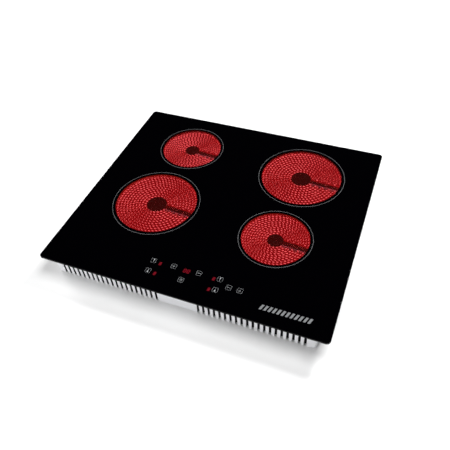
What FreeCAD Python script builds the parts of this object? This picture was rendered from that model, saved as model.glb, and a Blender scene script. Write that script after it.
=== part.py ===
import FreeCAD, Part
import math
import os

os.makedirs("parts", exist_ok=True)

V = FreeCAD.Vector
UP = V(0, 0, 1)

# A built-in ceramic hob with four radiant heaters and touch controls.
# Millimetres and degrees. X runs across, the controls are towards -Y, Z is up.
# The origin is on the underside, below the centre of the glass.

# Overall
glass_width = 590.0
glass_depth = 520.0
overall_height = 53.0

# Glass, its bond and its carrier
glass_thickness = 4.0
glass_corner = 8.0
glass_edge_round = 1.0
bond_thickness = 0.8
carrier_thickness = 1.0
carrier_width_side = 17.0
carrier_width_front = 11.0
carrier_width_back = 7.5
carrier_overhang_front = 2.0
carrier_overhang_side = 7.5
carrier_overhang_back = 3.0
bond_inset = 1.0
seal_width = 7.0
seal_thickness = 2.0
seal_inset = 1.5

# Casing, set back from the edges of the glass
side_overhang = 23.5
front_overhang = 13.0
back_overhang = 24.0
sheet = 0.8
casing_corner = 6.0
bottom_bend = 3.0
casing_lip = 4.5
vent_slots = 20
vent_pitch = 10.9
vent_first_x = 44.0
vent_width = 4.8
vent_top = 40.0
vent_reach = 5.0

# Screws, all M4 x 8 with a pan head
screw_radius = 2.0
screw_length = 8.0
screw_head_radius = 4.0
screw_head_height = 2.4
screw_play = 0.1
tab_width = 14.0
tab_drop = 14.0
tab_play = 1.0
tab_screw_drop = 8.0
tab_middle_y = 10.0
tab_from_front = 57.0
tab_from_back = 46.0
tab_from_side = 51.5

# Heaters: centre of each zone, then the sizes of the two models
column_x = 137.5
rear_left_y = 147.6
front_left_y = -45.7
rear_right_y = 129.9
front_right_y = -63.0
large_glow_radius = 88.5
small_glow_radius = 69.5
large_hub_radius = 22.0
small_hub_radius = 16.5
ribbon_loops = 10
heater_height = 29.0
pan_sheet = 0.6
pan_bend = 2.0
pan_rim_gap = 3.5
wall_width = 11.0
wall_height = 7.5
insulation_play = 0.2
hub_height = 5.0
ribbon_height = 5.0
ribbon_thickness = 0.8
ribbon_margin = 3.2

# Temperature limiter of each heater
limiter_angle = -4.5
limiter_channel = 19.0
limiter_offset = -4.5
limiter_rod_radius = 2.0
limiter_rod_start = 8.0
limiter_rod_insert = 8.0
limiter_play = 0.3
limiter_floor_gap = 0.5
switch_gap = 0.5
switch_length = 26.0
switch_width = 22.0
switch_height = 17.0
switch_top_gap = 2.6
terminal_length = 12.0
terminal_width = 20.0
terminal_height = 14.0
terminal_drop = 7.0
terminal_spacing = 24.0
terminal_hole_radius = 2.0

# Rails and leaf springs under the heaters
rail_width = 30.0
rail_foot = 9.0
rail_sheet = 1.0
rail_end_gap = 0.5
spring_width = 14.0
spring_sheet = 0.6
spring_height = 6.0
spring_foot = 8.0
spring_slope = 14.0
spring_crown = 12.0

# Heat shield between the heaters and the electronics
shield_from_edge = 111.0
shield_sheet = 1.0
shield_foot = 9.0
shield_side_gap = 2.7
shield_top_gap = 0.4
shield_notch_x = 150.0
shield_notch_width = 40.0
shield_notch_depth = 12.0

# Touch controls, placed from the front edge of the glass
panel_x = 0.7
row_back_from_edge = 65.2
row_front_from_edge = 39.8
row_middle_from_edge = 52.7
zone_key_x = 69.6
digit_x = 56.3
step_key_x = 26.5
lock_key_x = 91.6
power_key_x = 113.6
touch_spring_radius = 4.0
touch_spring_wall = 0.5
touch_board_gap = 7.4
board_thickness = 1.6
board_margin_x = 15.5
board_margin_y = 16.5
digit_width = 10.0
timer_width = 18.0
digit_depth = 14.0
digit_glass_gap = 0.4
tray_floor = 2.0
tray_rim = 1.5
tray_rim_height = 3.0
tray_play = 0.3
tray_leg_radius = 4.0
tray_leg_inset = 8.0

# Power electronics, placed from the casing's front left corner
power_board_width = 158.0
power_board_depth = 76.0
power_board_from_side = 9.5
power_board_from_front = 9.0
standoff_height = 8.0
standoff_radius = 3.5
standoff_inset = 6.0
relay_count = 4
relay_pitch = 34.0
relay_from_side = 37.5
relay_from_front = 31.0
relay_length = 29.0
relay_width = 12.6
relay_height = 15.7
relay_round = 0.8
flat_cable_width = 16.0
flat_cable_thickness = 1.0
flat_cable_bend = 6.0
flat_cable_from_edge = 62.0
flat_cable_plug = 10.0

# Cooling fan, placed from the casing's front right corner
fan_from_side = 66.5
fan_from_front = 51.0
fan_size = 60.0
fan_height = 15.0
fan_duct_radius = 28.0
fan_corner = 4.0
fan_hub_radius = 14.0
fan_motor_height = 3.0
fan_strut_width = 4.0
fan_strut_count = 3
fan_axle_radius = 1.5
fan_axle_play = 0.1
fan_hub_gap = 0.3
fan_blade_count = 7
fan_blade_gap = 1.0
fan_blade_thickness = 1.2
fan_blade_chord = 13.0
fan_blade_pitch = 38.0
fan_top_gap = 0.8
fan_clip_width = 12.0
fan_clip_height = 10.0
fan_clip_play = 0.2
grille_slot = 3.6
grille_pitch = 7.0
grille_radius = 26.0

# Mains connection at the back
mains_x = 5.0
box_width = 78.0
box_back_gap = 10.2
box_depth = 52.0
box_height = 24.0
box_wall = 2.0
box_flange = 5.0
inlet_radius = 6.5
inlet_wall = 2.5
inlet_play = 0.2
inlet_proud = 2.0
inlet_height = 12.0
cover_thickness = 1.8
cover_lift = 0.4
cover_play = 0.3
hinge_radius = 1.4
hinge_pin_radius = 1.0
hinge_pin_length = 1.9
hinge_play = 0.1
hinge_inset = 2.2
hinge_height = 2.2
window_relief = 1.0
terminal_count = 6
terminal_pitch = 11.0
terminal_block = (8.0, 14.0, 10.0)
terminal_from_back = 42.2
clamp_bar = (40.0, 6.0, 3.4)
clamp_bar_from_back = 21.2
clamp_bar_z = 5.2
clamp_screw_x = 14.0
clamp_post_radius = 4.0

# Hold-down clamps on the side walls
hold_from_front = 47.0
hold_from_back = 56.0
hold_axis_out = 4.2
hold_radius = 3.9
hold_arm_length = 36.0
hold_arm_z = 5.0
hold_arm_thickness = 2.0
hold_tip_length = 3.0
hold_tip_height = 1.5
ear_z = 16.0
ear_sheet = 1.2
ear_width = 16.0
ear_reach = 8.3
bolt_radius = 2.5
bolt_play = 0.1
bolt_head_radius = 4.0
bolt_head_height = 3.0
bolt_top = 20.0
bolt_gap = 0.3

# Levels and planes that follow from the sizes above
glass_bottom = overall_height - glass_thickness
carrier_top = glass_bottom - bond_thickness
casing_top = carrier_top - carrier_thickness
edge_front = -glass_depth / 2
wall_x = glass_width / 2 - side_overhang
wall_front = edge_front + front_overhang
wall_back = glass_depth / 2 - back_overhang
inside_x = wall_x - sheet
inside_front = wall_front + sheet
inside_back = wall_back - sheet
pan_bottom = glass_bottom - heater_height
heater_floor = glass_bottom - wall_height
rod_z = heater_floor + limiter_floor_gap + limiter_rod_radius
rail_top = pan_bottom - spring_height
shield_y = edge_front + shield_from_edge
row_back_y = edge_front + row_back_from_edge
row_front_y = edge_front + row_front_from_edge
row_middle_y = edge_front + row_middle_from_edge
touch_board_top = glass_bottom - touch_board_gap
touch_board_bottom = touch_board_top - board_thickness
power_board_bottom = sheet + standoff_height
power_board_top = power_board_bottom + board_thickness
power_board_x0 = -wall_x + power_board_from_side
power_board_x1 = power_board_x0 + power_board_width
power_board_y0 = wall_front + power_board_from_front
power_board_y1 = power_board_y0 + power_board_depth
flat_cable_y = edge_front + flat_cable_from_edge
fan_x = wall_x - fan_from_side
fan_y = wall_front + fan_from_front
box_back = inside_back - box_back_gap
box_front = box_back - box_depth
box_ceiling = sheet + box_height - box_wall
inlet_z = sheet + inlet_height
hinge_y = box_front + box_wall + hinge_inset
terminal_block_y = inside_back - terminal_from_back
clamp_bar_y = inside_back - clamp_bar_from_back
hold_axis_x = wall_x + hold_axis_out
hold_y_front = wall_front + hold_from_front
hold_y_back = wall_back - hold_from_back
side_tab_y = (wall_front + tab_from_front, tab_middle_y, wall_back - tab_from_back)
back_tab_x = (-wall_x + tab_from_side, wall_x - tab_from_side)

ZONES = {
    "rear_left": (-column_x, rear_left_y, small_glow_radius, small_hub_radius),
    "front_left": (-column_x, front_left_y, large_glow_radius, large_hub_radius),
    "rear_right": (column_x, rear_right_y, large_glow_radius, large_hub_radius),
    "front_right": (column_x, front_right_y, small_glow_radius, small_hub_radius),
}

HOLD_CLAMPS = {
    "front_left": (-1, hold_y_front, 1),
    "rear_left": (-1, hold_y_back, -1),
    "front_right": (1, hold_y_front, 1),
    "rear_right": (1, hold_y_back, -1),
}

KEYS = [
    (panel_x - zone_key_x, row_back_y),
    (panel_x - zone_key_x, row_front_y),
    (panel_x - step_key_x, row_back_y),
    (panel_x + step_key_x, row_back_y),
    (panel_x, row_front_y),
    (panel_x + zone_key_x, row_back_y),
    (panel_x + zone_key_x, row_front_y),
    (panel_x + lock_key_x, row_middle_y),
    (panel_x + power_key_x, row_middle_y),
]


# Shapes that are used again and again

def box(x0, x1, y0, y1, z0, z1):
    return Part.makeBox(x1 - x0, y1 - y0, z1 - z0, V(x0, y0, z0))


def cylinder(x, y, z0, z1, radius):
    return Part.makeCylinder(radius, z1 - z0, V(x, y, z0), UP)


def rod_along(x, y, z, direction, length, radius):
    return Part.makeCylinder(radius, length, V(x, y, z), V(*direction))


def tube(x, y, z0, z1, outer, inner):
    return cylinder(x, y, z0, z1, outer).cut(cylinder(x, y, z0 - 1, z1 + 1, inner))


def rounded_plate(x0, x1, y0, y1, radius, z0, z1):
    """A flat plate with rounded corners, seen from above."""
    plate = box(x0, x1, y0, y1, z0, z1)
    upright = [e for e in plate.Edges if e.BoundBox.ZLength > (z1 - z0) / 2]
    return plate.makeFillet(radius, upright)


def edges_at(shape, z):
    return [e for e in shape.Edges if abs(e.BoundBox.ZMin - z) < 1e-6 and abs(e.BoundBox.ZMax - z) < 1e-6]


def stadium(x, y0, y1, width, z0, z1):
    """A slot that runs along Y, with round ends."""
    radius = width / 2
    body = box(x - radius, x + radius, y0 + radius, y1 - radius, z0, z1)
    ends = [cylinder(x, y0 + radius, z0, z1, radius), cylinder(x, y1 - radius, z0, z1, radius)]
    return body.fuse(ends).removeSplitter()


def extrude_profile(points, direction):
    """A prism from a closed polygon of points."""
    corners = [V(*p) for p in points]
    wire = Part.makePolygon(corners + [corners[0]])
    return Part.Face(wire).extrude(V(*direction))


def screw(x, y, z, direction):
    """One M4 screw: (x, y, z) is under the head, direction is where the tip points."""
    d = V(*direction)
    shank = Part.makeCylinder(screw_radius, screw_length, V(x, y, z), d)
    head = Part.makeCylinder(screw_head_radius, screw_head_height, V(x, y, z) - d * screw_head_height, d)
    slot = box(-screw_head_radius, screw_head_radius, -0.5, 0.5, -1.0, 1.0)
    slot.Placement = FreeCAD.Placement(V(x, y, z) - d * screw_head_height, FreeCAD.Rotation(UP, d))
    return shank.fuse(head).removeSplitter().cut(slot)


def about(shape, x, y, angle):
    """Turn a shape that was drawn around the origin, then carry it to (x, y)."""
    shape.rotate(V(0, 0, 0), UP, angle)
    shape.translate(V(x, y, 0))
    return shape


# Glass, seal, bond and carrier

def make_glass():
    half_x = glass_width / 2
    half_y = glass_depth / 2
    glass = rounded_plate(-half_x, half_x, -half_y, half_y, glass_corner, glass_bottom, overall_height)
    return glass.makeFillet(glass_edge_round, edges_at(glass, overall_height))


def make_seal():
    x = glass_width / 2 - seal_inset
    y = glass_depth / 2 - seal_inset
    z0 = glass_bottom - seal_thickness
    r = glass_corner - seal_inset
    w = seal_width
    outer = rounded_plate(-x, x, -y, y, r, z0, glass_bottom)
    inner = box(-x + w, x - w, -y + w, y - w, z0 - 1, glass_bottom + 1)
    return outer.cut(inner)


def carrier_ring(inset, z0, z1):
    """The frame around the casing's mouth, shrunk by inset on every edge."""
    x1 = wall_x + carrier_overhang_side
    y0 = wall_front - carrier_overhang_front
    y1 = wall_back + carrier_overhang_back
    outer = rounded_plate(-x1 + inset, x1 - inset, y0 + inset, y1 - inset, casing_corner, z0, z1)
    xi = x1 - carrier_width_side
    yi0 = y0 + carrier_width_front
    yi1 = y1 - carrier_width_back
    inner = rounded_plate(-xi - inset, xi + inset, yi0 - inset, yi1 + inset, casing_corner, z0 - 1, z1 + 1)
    return outer.cut(inner)


def tab_places():
    """Where the carrier is screwed to the walls: a point on the wall's outer face and the way in."""
    z = casing_top - tab_screw_drop
    places = []
    for y in side_tab_y:
        places.append(((-wall_x, y, z), (1, 0, 0)))
        places.append(((wall_x, y, z), (-1, 0, 0)))
    for x in back_tab_x:
        places.append(((x, wall_back, z), (0, -1, 0)))
    return places


def tab_plate(place, inward, half_width, depth0, depth1, z0, z1):
    """A box against a wall's inner side, depth0 to depth1 in from the outer face."""
    x, y, _ = place
    if inward[0]:
        xs = sorted((x + inward[0] * depth0, x + inward[0] * depth1))
        return box(xs[0], xs[1], y - half_width, y + half_width, z0, z1)
    ys = sorted((y + inward[1] * depth0, y + inward[1] * depth1))
    return box(x - half_width, x + half_width, ys[0], ys[1], z0, z1)


def make_carrier():
    carrier = carrier_ring(0, casing_top, carrier_top)
    tabs = []
    holes = []
    for place, inward in tab_places():
        depth = sheet + carrier_thickness
        z0 = casing_top - tab_drop
        tabs.append(tab_plate(place, inward, tab_width / 2, sheet, depth, z0, carrier_top))
        holes.append(rod_along(*place, inward, screw_length, screw_radius + screw_play))
    return carrier.fuse(tabs).removeSplitter().cut(holes)


# Casing

def vent_slot(x):
    """One front slot: a round-topped cut that runs down through the bend into the bottom."""
    radius = vent_width / 2
    y0 = wall_front - 1
    length = vent_reach + 1
    body = box(x - radius, x + radius, y0, y0 + length, -1, vent_top - radius)
    top = rod_along(x, y0, vent_top - radius, (0, 1, 0), length, radius)
    return body.fuse(top).removeSplitter()


def vent_places():
    offsets = [vent_first_x + i * vent_pitch for i in range(vent_slots)]
    return [-x for x in offsets] + offsets


def grille_cuts():
    rows = int(grille_radius // grille_pitch)
    cuts = []
    for i in range(-rows, rows + 1):
        x = i * grille_pitch
        half = math.sqrt(grille_radius ** 2 - x ** 2)
        cuts.append(stadium(fan_x + x, fan_y - half, fan_y + half, grille_slot, -1, sheet + 1))
    return cuts


def fan_clips():
    half = fan_size / 2 + fan_clip_play
    top = sheet + fan_clip_height
    w = fan_clip_width / 2
    clips = []
    for side in (-1, 1):
        xs = sorted((fan_x + side * half, fan_x + side * (half + sheet)))
        ys = sorted((fan_y + side * half, fan_y + side * (half + sheet)))
        clips.append(box(xs[0], xs[1], fan_y - w, fan_y + w, 0, top))
        clips.append(box(fan_x - w, fan_x + w, ys[0], ys[1], 0, top))
    return clips


def standoff_places():
    xs = (power_board_x0 + standoff_inset, power_board_x1 - standoff_inset)
    ys = (power_board_y0 + standoff_inset, power_board_y1 - standoff_inset)
    return [(x, y) for x in xs for y in ys]


def window_cut():
    """The opening in the bottom below the mains connection box."""
    half = box_width / 2 - box_wall
    y0 = box_front + box_wall - window_relief
    y1 = box_back - box_wall
    return box(mains_x - half, mains_x + half, y0, y1, -1, sheet + 0.5)


def make_casing():
    r = casing_corner
    outer = rounded_plate(-wall_x, wall_x, wall_front, wall_back, r, 0, casing_top)
    outer = outer.makeFillet(bottom_bend, edges_at(outer, 0))
    inner = rounded_plate(-inside_x, inside_x, inside_front, inside_back, r - sheet, sheet, casing_top + 1)
    inner = inner.makeFillet(bottom_bend - sheet, edges_at(inner, sheet))
    tray = outer.cut(inner)
    lip_outer = rounded_plate(-wall_x, wall_x, wall_front, wall_back, r, casing_top - sheet, casing_top)
    x = wall_x - casing_lip
    lip_inner = box(-x, x, wall_front + casing_lip, wall_back - casing_lip, casing_top - 5, casing_top + 1)
    lip = lip_outer.cut(lip_inner)
    additions = [lip] + fan_clips()
    for x, y in standoff_places():
        additions.append(cylinder(x, y, 0, power_board_bottom, standoff_radius))
    for side, y, _ in HOLD_CLAMPS.values():
        xs = sorted((side * (wall_x - sheet / 2), side * (wall_x + ear_reach)))
        additions.append(box(xs[0], xs[1], y - ear_width / 2, y + ear_width / 2, ear_z, ear_z + ear_sheet))
    tray = tray.fuse(additions).removeSplitter()
    cuts = [vent_slot(x) for x in vent_places()] + grille_cuts() + [window_cut()]
    for x, y in standoff_places():
        cuts.append(cylinder(x, y, sheet, power_board_bottom + 1, screw_radius + screw_play))
    for side, y, _ in HOLD_CLAMPS.values():
        x = side * hold_axis_x
        cuts.append(cylinder(x, y, ear_z - 1, ear_z + ear_sheet + 1, bolt_radius + bolt_play))
    for place, inward in tab_places():
        cuts.append(rod_along(*place, inward, 3, screw_radius + screw_play))
        half = tab_width / 2 + tab_play
        cuts.append(tab_plate(place, inward, half, sheet, casing_lip + 1, casing_top - 5, casing_top + 1))
    inlet_hole = inlet_radius + inlet_wall + inlet_play
    cuts.append(rod_along(mains_x, inside_back - 1, inlet_z, (0, 1, 0), sheet + 2, inlet_hole))
    return tray.cut(cuts)


def make_shield():
    x = inside_x - shield_side_gap
    top = casing_top - sheet - shield_top_gap
    wall = box(-x, x, shield_y, shield_y + shield_sheet, sheet, top)
    foot = box(-x, x, shield_y - shield_foot, shield_y + shield_sheet, sheet, sheet + shield_sheet)
    shield = wall.fuse(foot).removeSplitter()
    notches = []
    for side in (-1, 1):
        x0 = side * shield_notch_x - shield_notch_width / 2
        y1 = shield_y + shield_sheet + 1
        z0 = top - shield_notch_depth
        notches.append(box(x0, x0 + shield_notch_width, shield_y - 1, y1, z0, top + 1))
    return shield.cut(notches)


def make_rail(side):
    """A hat-section rail from the heat shield to the back wall, under one column of heaters."""
    y0 = shield_y + shield_sheet + rail_end_gap
    y1 = inside_back - rail_end_gap - (bottom_bend - sheet)
    half = rail_width / 2
    t = rail_sheet
    outline = [
        (-half - rail_foot, sheet), (-half - rail_foot, sheet + t), (-half, sheet + t), (-half, rail_top),
        (half, rail_top), (half, sheet + t), (half + rail_foot, sheet + t), (half + rail_foot, sheet),
        (half - t, sheet), (half - t, rail_top - t), (-half + t, rail_top - t), (-half + t, sheet),
    ]
    rail = extrude_profile([(x, y0, z) for x, z in outline], (0, y1 - y0, 0))
    rail.translate(V(side * column_x, 0, 0))
    return rail


# Heaters

def heater_sizes(glow, hub):
    """Radii that follow from a heater's glowing radius and its hub."""
    pan_inside = glow + wall_width
    pan_outside = pan_inside + pan_sheet
    first_loop = hub + ribbon_margin - ribbon_thickness / 2
    last_loop = glow - ribbon_margin
    return pan_inside, pan_outside, first_loop, last_loop


def limiter_hole(radius, start, end):
    """The straight way of the limiter rod, before it is turned to its angle."""
    return rod_along(start, limiter_offset, rod_z, (1, 0, 0), end - start, radius)


def make_pan(x, y, glow, hub):
    pan_inside, pan_outside, _, _ = heater_sizes(glow, hub)
    rim = glass_bottom - pan_rim_gap
    outer = cylinder(0, 0, pan_bottom, rim, pan_outside)
    outer = outer.makeFillet(pan_bend, edges_at(outer, pan_bottom))
    inner = cylinder(0, 0, pan_bottom + pan_sheet, rim + 1, pan_inside)
    inner = inner.makeFillet(pan_bend - pan_sheet, edges_at(inner, pan_bottom + pan_sheet))
    half = limiter_rod_radius + limiter_play
    notch = box(0, pan_outside + 2, limiter_offset - half, limiter_offset + half, heater_floor, rim + 1)
    return about(outer.cut(inner).cut(notch), x, y, limiter_angle)


def make_base(x, y, glow, hub):
    """The insulating slab in the pan, with the raised hub that carries the rod's far end."""
    pan_inside, _, _, _ = heater_sizes(glow, hub)
    radius = pan_inside - insulation_play
    slab = cylinder(0, 0, pan_bottom + pan_sheet, heater_floor, radius)
    slab = slab.makeChamfer(pan_bend - pan_sheet, edges_at(slab, pan_bottom + pan_sheet))
    boss = cylinder(0, 0, heater_floor - 1, heater_floor + hub_height, hub)
    boss = boss.makeFillet(1.0, edges_at(boss, heater_floor + hub_height))
    base = slab.fuse(boss).removeSplitter()
    start = limiter_rod_start - limiter_play
    hole = limiter_hole(limiter_rod_radius + limiter_play, start, hub + 5)
    return about(base.cut(hole), x, y, limiter_angle)


def make_wall(x, y, glow, hub):
    """The insulating ring that presses on the underside of the glass."""
    pan_inside, _, _, _ = heater_sizes(glow, hub)
    ring = tube(0, 0, heater_floor, glass_bottom, pan_inside - insulation_play, glow)
    hole = limiter_hole(limiter_rod_radius + limiter_play, glow - 5, pan_inside + 5)
    return about(ring.cut(hole), x, y, limiter_angle)


def polar(radius, angle):
    a = math.radians(angle)
    return V(radius * math.cos(a), radius * math.sin(a), heater_floor)


def arc_edge(centre, radius, a0, a1):
    """An arc from angle a0 to a1, either way round, in the plane of the heater's floor."""
    ends = [centre + polar(radius, a) - V(0, 0, heater_floor) for a in (a0, (a0 + a1) / 2, a1)]
    return Part.Arc(*ends).toShape()


def ribbon_path(first_loop, last_loop):
    """The heating ribbon's centre line: (centre, radius, start angle, end angle) of each arc."""
    pitch = (last_loop - first_loop) / (ribbon_loops - 1)
    half = limiter_channel / 2 + ribbon_thickness / 2
    origin = V(0, 0, heater_floor)
    radii = [first_loop + i * pitch for i in range(ribbon_loops)]

    def turn_angle(i):
        middle = radii[i] + pitch / 2
        return math.degrees(math.asin((half + pitch / 2) / middle))

    arcs = []
    for i, radius in enumerate(radii):
        free = math.degrees(math.asin(half / radius))
        near = turn_angle(i - 1) if i else free
        far = turn_angle(i) if i < ribbon_loops - 1 else free
        forward = i % 2 == 0
        start = near if forward else 360 - near
        end = 360 - far if forward else far
        arcs.append((origin, radius, start, end))
        if i < ribbon_loops - 1:
            centre = polar(radius + pitch / 2, end)
            if forward:
                arcs.append((centre, pitch / 2, end + 180, end))
            else:
                arcs.append((centre, pitch / 2, end - 180, end))
    return arcs


def make_ribbon(x, y, glow, hub):
    """One strip on edge that runs round and back in ever wider loops."""
    _, _, first_loop, last_loop = heater_sizes(glow, hub)
    arcs = ribbon_path(first_loop, last_loop)
    half = ribbon_thickness / 2
    left = []
    right = []
    for centre, radius, a0, a1 in arcs:
        side = half if a1 > a0 else -half
        left.append(arc_edge(centre, radius - side, a0, a1))
        right.append(arc_edge(centre, radius + side, a0, a1))

    def cap(edge_a, edge_b, at_start):
        a = edge_a.valueAt(edge_a.FirstParameter if at_start else edge_a.LastParameter)
        b = edge_b.valueAt(edge_b.FirstParameter if at_start else edge_b.LastParameter)
        return Part.makeLine(a, b)

    edges = left + right + [cap(left[0], right[0], True), cap(left[-1], right[-1], False)]
    wire = Part.Wire(Part.__sortEdges__(edges))
    return about(Part.Face(wire).extrude(UP * ribbon_height), x, y, limiter_angle)


def make_limiter_rod(x, y, glow, hub):
    _, pan_outside, _, _ = heater_sizes(glow, hub)
    end = pan_outside + switch_gap + limiter_rod_insert
    return about(limiter_hole(limiter_rod_radius, limiter_rod_start, end), x, y, limiter_angle)


def make_limiter_switch(x, y, glow, hub):
    _, pan_outside, _, _ = heater_sizes(glow, hub)
    r0 = pan_outside + switch_gap
    top = glass_bottom - switch_top_gap
    half = switch_width / 2
    y0 = limiter_offset - half
    body = box(r0, r0 + switch_length, y0, y0 + switch_width, top - switch_height, top)
    upright = [e for e in body.Edges if e.BoundBox.ZLength > switch_height / 2]
    body = body.makeFillet(1.5, upright)
    hole = limiter_hole(limiter_rod_radius + limiter_play, r0 - 1, r0 + limiter_rod_insert + limiter_play)
    return about(body.cut(hole), x, y, limiter_angle)


def make_heater_terminal(x, y, glow, hub):
    """The ceramic block that the two ends of the ribbon are wired to."""
    _, pan_outside, _, _ = heater_sizes(glow, hub)
    r0 = pan_outside + switch_gap
    half = terminal_width / 2
    top = glass_bottom - terminal_drop
    body = box(r0, r0 + terminal_length, -half, half, top - terminal_height, top)
    body = body.makeChamfer(1.0, edges_at(body, top))
    z = top - terminal_height / 2
    length = terminal_length + 2
    channels = []
    for side in (-1, 1):
        channels.append(rod_along(r0 - 1, side * half / 2, z, (1, 0, 0), length, terminal_hole_radius))
    angle = limiter_angle + math.degrees(math.atan2(terminal_spacing, r0))
    return about(body.cut(channels), x, y, angle)


def make_heater_spring(x, y, glow, hub):
    """A bent leaf spring between the rail and the underside of the pan."""
    rise = pan_bottom - rail_top - spring_sheet
    t = spring_sheet
    y1 = spring_crown / 2
    y2 = y1 + spring_slope
    y3 = y2 + spring_foot
    lower = [(-y3, 0), (-y2, 0), (-y1, rise), (y1, rise), (y2, 0), (y3, 0)]
    outline = lower + [(b, z + t) for b, z in reversed(lower)]
    half = spring_width / 2
    spring = extrude_profile([(-half, b, rail_top + z) for b, z in outline], (spring_width, 0, 0))
    spring.translate(V(x, y, 0))
    return spring


# Touch controls

def board_extent():
    xs = [x for x, _ in KEYS]
    ys = [y for _, y in KEYS]
    mx = board_margin_x
    my = board_margin_y
    return min(xs) - mx, max(xs) + mx, min(ys) - my, max(ys) + my


def make_touch_board():
    x0, x1, y0, y1 = board_extent()
    return box(x0, x1, y0, y1, touch_board_bottom, touch_board_top)


def make_board_tray():
    """The moulded tray that holds the touch board up under the glass, on four legs."""
    x0, x1, y0, y1 = board_extent()
    p = tray_play
    w = tray_rim + p
    z0 = touch_board_bottom - tray_floor
    outer = box(x0 - w, x1 + w, y0 - w, y1 + w, z0, touch_board_bottom + tray_rim_height)
    pocket = box(x0 - p, x1 + p, y0 - p, y1 + p, touch_board_bottom, touch_board_bottom + tray_rim_height + 1)
    half = flat_cable_width / 2 + 1
    y2 = flat_cable_y - half
    y3 = flat_cable_y + half
    gap = box(x0 - w - 1, x0 + 1, y2, y3, touch_board_bottom, glass_bottom)
    tray = outer.cut([pocket, gap])
    legs = []
    for x in (x0 + tray_leg_inset, x1 - tray_leg_inset):
        for y in (y0 + tray_leg_inset, y1 - tray_leg_inset):
            legs.append(cylinder(x, y, sheet, z0 + tray_floor / 2, tray_leg_radius))
    return tray.fuse(legs).removeSplitter()


def make_touch_springs():
    inner = touch_spring_radius - touch_spring_wall
    return [tube(x, y, touch_board_top, glass_bottom, touch_spring_radius, inner) for x, y in KEYS]


def display(x, y, width):
    top = glass_bottom - digit_glass_gap
    half = width / 2
    depth = digit_depth / 2
    body = box(x - half, x + half, y - depth, y + depth, touch_board_top, top)
    return body.makeChamfer(0.4, edges_at(body, top))


def make_zone_displays():
    places = [(panel_x + side * digit_x, y) for side in (-1, 1) for y in (row_back_y, row_front_y)]
    return [display(x, y, digit_width) for x, y in places]


def make_timer_display():
    return display(panel_x, row_back_y, timer_width)


# Power electronics

def make_power_board():
    extent = (power_board_x0, power_board_x1, power_board_y0, power_board_y1)
    board = box(*extent, power_board_bottom, power_board_top)
    holes = []
    for x, y in standoff_places():
        holes.append(cylinder(x, y, power_board_bottom - 1, power_board_top + 1, screw_radius + screw_play))
    return board.cut(holes)


def make_relays():
    relays = []
    for i in range(relay_count):
        x0 = -wall_x + relay_from_side + i * relay_pitch - relay_length / 2
        y0 = wall_front + relay_from_front - relay_width / 2
        top = power_board_top + relay_height
        body = box(x0, x0 + relay_length, y0, y0 + relay_width, power_board_top, top)
        relays.append(body.makeFillet(relay_round, edges_at(body, top)))
    return relays


def make_flat_cable():
    """The flat cable that climbs from the power board and lies on the touch board's edge."""
    x0, _, _, _ = board_extent()
    t = flat_cable_thickness
    r = flat_cable_bend
    low = power_board_top + t / 2
    high = touch_board_top + t / 2
    rise_x = (power_board_x1 + x0) / 2
    start = power_board_x1 - flat_cable_plug
    end = x0 + flat_cable_plug

    def outline(side):
        r0 = r + side
        r1 = r - side
        a = V(rise_x - r, 0, low + r)
        b = V(rise_x + r, 0, high - r)
        s = math.sqrt(0.5)
        return [
            Part.makeLine(V(start, 0, low - side), V(a.x, 0, low - side)),
            Part.Arc(V(a.x, 0, a.z - r0), V(a.x + r0 * s, 0, a.z - r0 * s), V(a.x + r0, 0, a.z)).toShape(),
            Part.makeLine(V(a.x + r0, 0, a.z), V(a.x + r0, 0, b.z)),
            Part.Arc(V(b.x - r1, 0, b.z), V(b.x - r1 * s, 0, b.z + r1 * s), V(b.x, 0, b.z + r1)).toShape(),
            Part.makeLine(V(b.x, 0, b.z + r1), V(end, 0, b.z + r1)),
        ]

    below = outline(t / 2)
    above = outline(-t / 2)
    caps = [
        Part.makeLine(V(start, 0, low - t / 2), V(start, 0, low + t / 2)),
        Part.makeLine(V(end, 0, high - t / 2), V(end, 0, high + t / 2)),
    ]
    wire = Part.Wire(Part.__sortEdges__(below + above + caps))
    cable = Part.Face(wire).extrude(V(0, flat_cable_width, 0))
    cable.translate(V(0, flat_cable_y - flat_cable_width / 2, 0))
    return cable


# Fan

def make_fan_frame():
    half = fan_size / 2
    z0 = sheet
    top = z0 + fan_height
    motor_top = z0 + fan_motor_height
    frame = rounded_plate(-half, half, -half, half, fan_corner, z0, top)
    frame = frame.cut(cylinder(0, 0, z0 - 1, top + 1, fan_duct_radius))
    motor = cylinder(0, 0, z0, motor_top, fan_hub_radius)
    axle = cylinder(0, 0, motor_top - 1, top - fan_top_gap - 1, fan_axle_radius)
    struts = []
    for i in range(fan_strut_count):
        w = fan_strut_width / 2
        strut = box(fan_hub_radius - 1, fan_duct_radius + 1, -w, w, z0, motor_top)
        strut.rotate(V(0, 0, 0), UP, i * 360 / fan_strut_count)
        struts.append(strut)
    return about(frame.fuse([motor, axle] + struts).removeSplitter(), fan_x, fan_y, 0)


def make_fan_rotor():
    z0 = sheet + fan_motor_height + fan_hub_gap
    top = sheet + fan_height - fan_top_gap
    hub = cylinder(0, 0, z0, top, fan_hub_radius)
    hub = hub.makeFillet(1.5, edges_at(hub, top))
    middle = (z0 + top) / 2
    sweep = tube(0, 0, z0, top, fan_duct_radius - fan_blade_gap, fan_hub_radius - 1)
    blades = []
    for i in range(fan_blade_count):
        t = fan_blade_thickness / 2
        chord = fan_blade_chord / 2
        blade = box(fan_hub_radius - 2, fan_duct_radius, -chord, chord, -t, t)
        blade.rotate(V(0, 0, 0), V(1, 0, 0), fan_blade_pitch)
        blade.translate(V(0, 0, middle))
        blade.rotate(V(0, 0, 0), UP, i * 360 / fan_blade_count)
        blades.append(blade.common(sweep))
    rotor = hub.fuse(blades)
    bore = cylinder(0, 0, z0 - 1, top - 0.5, fan_axle_radius + fan_axle_play)
    return about(rotor.cut(bore), fan_x, fan_y, 0)


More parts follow.
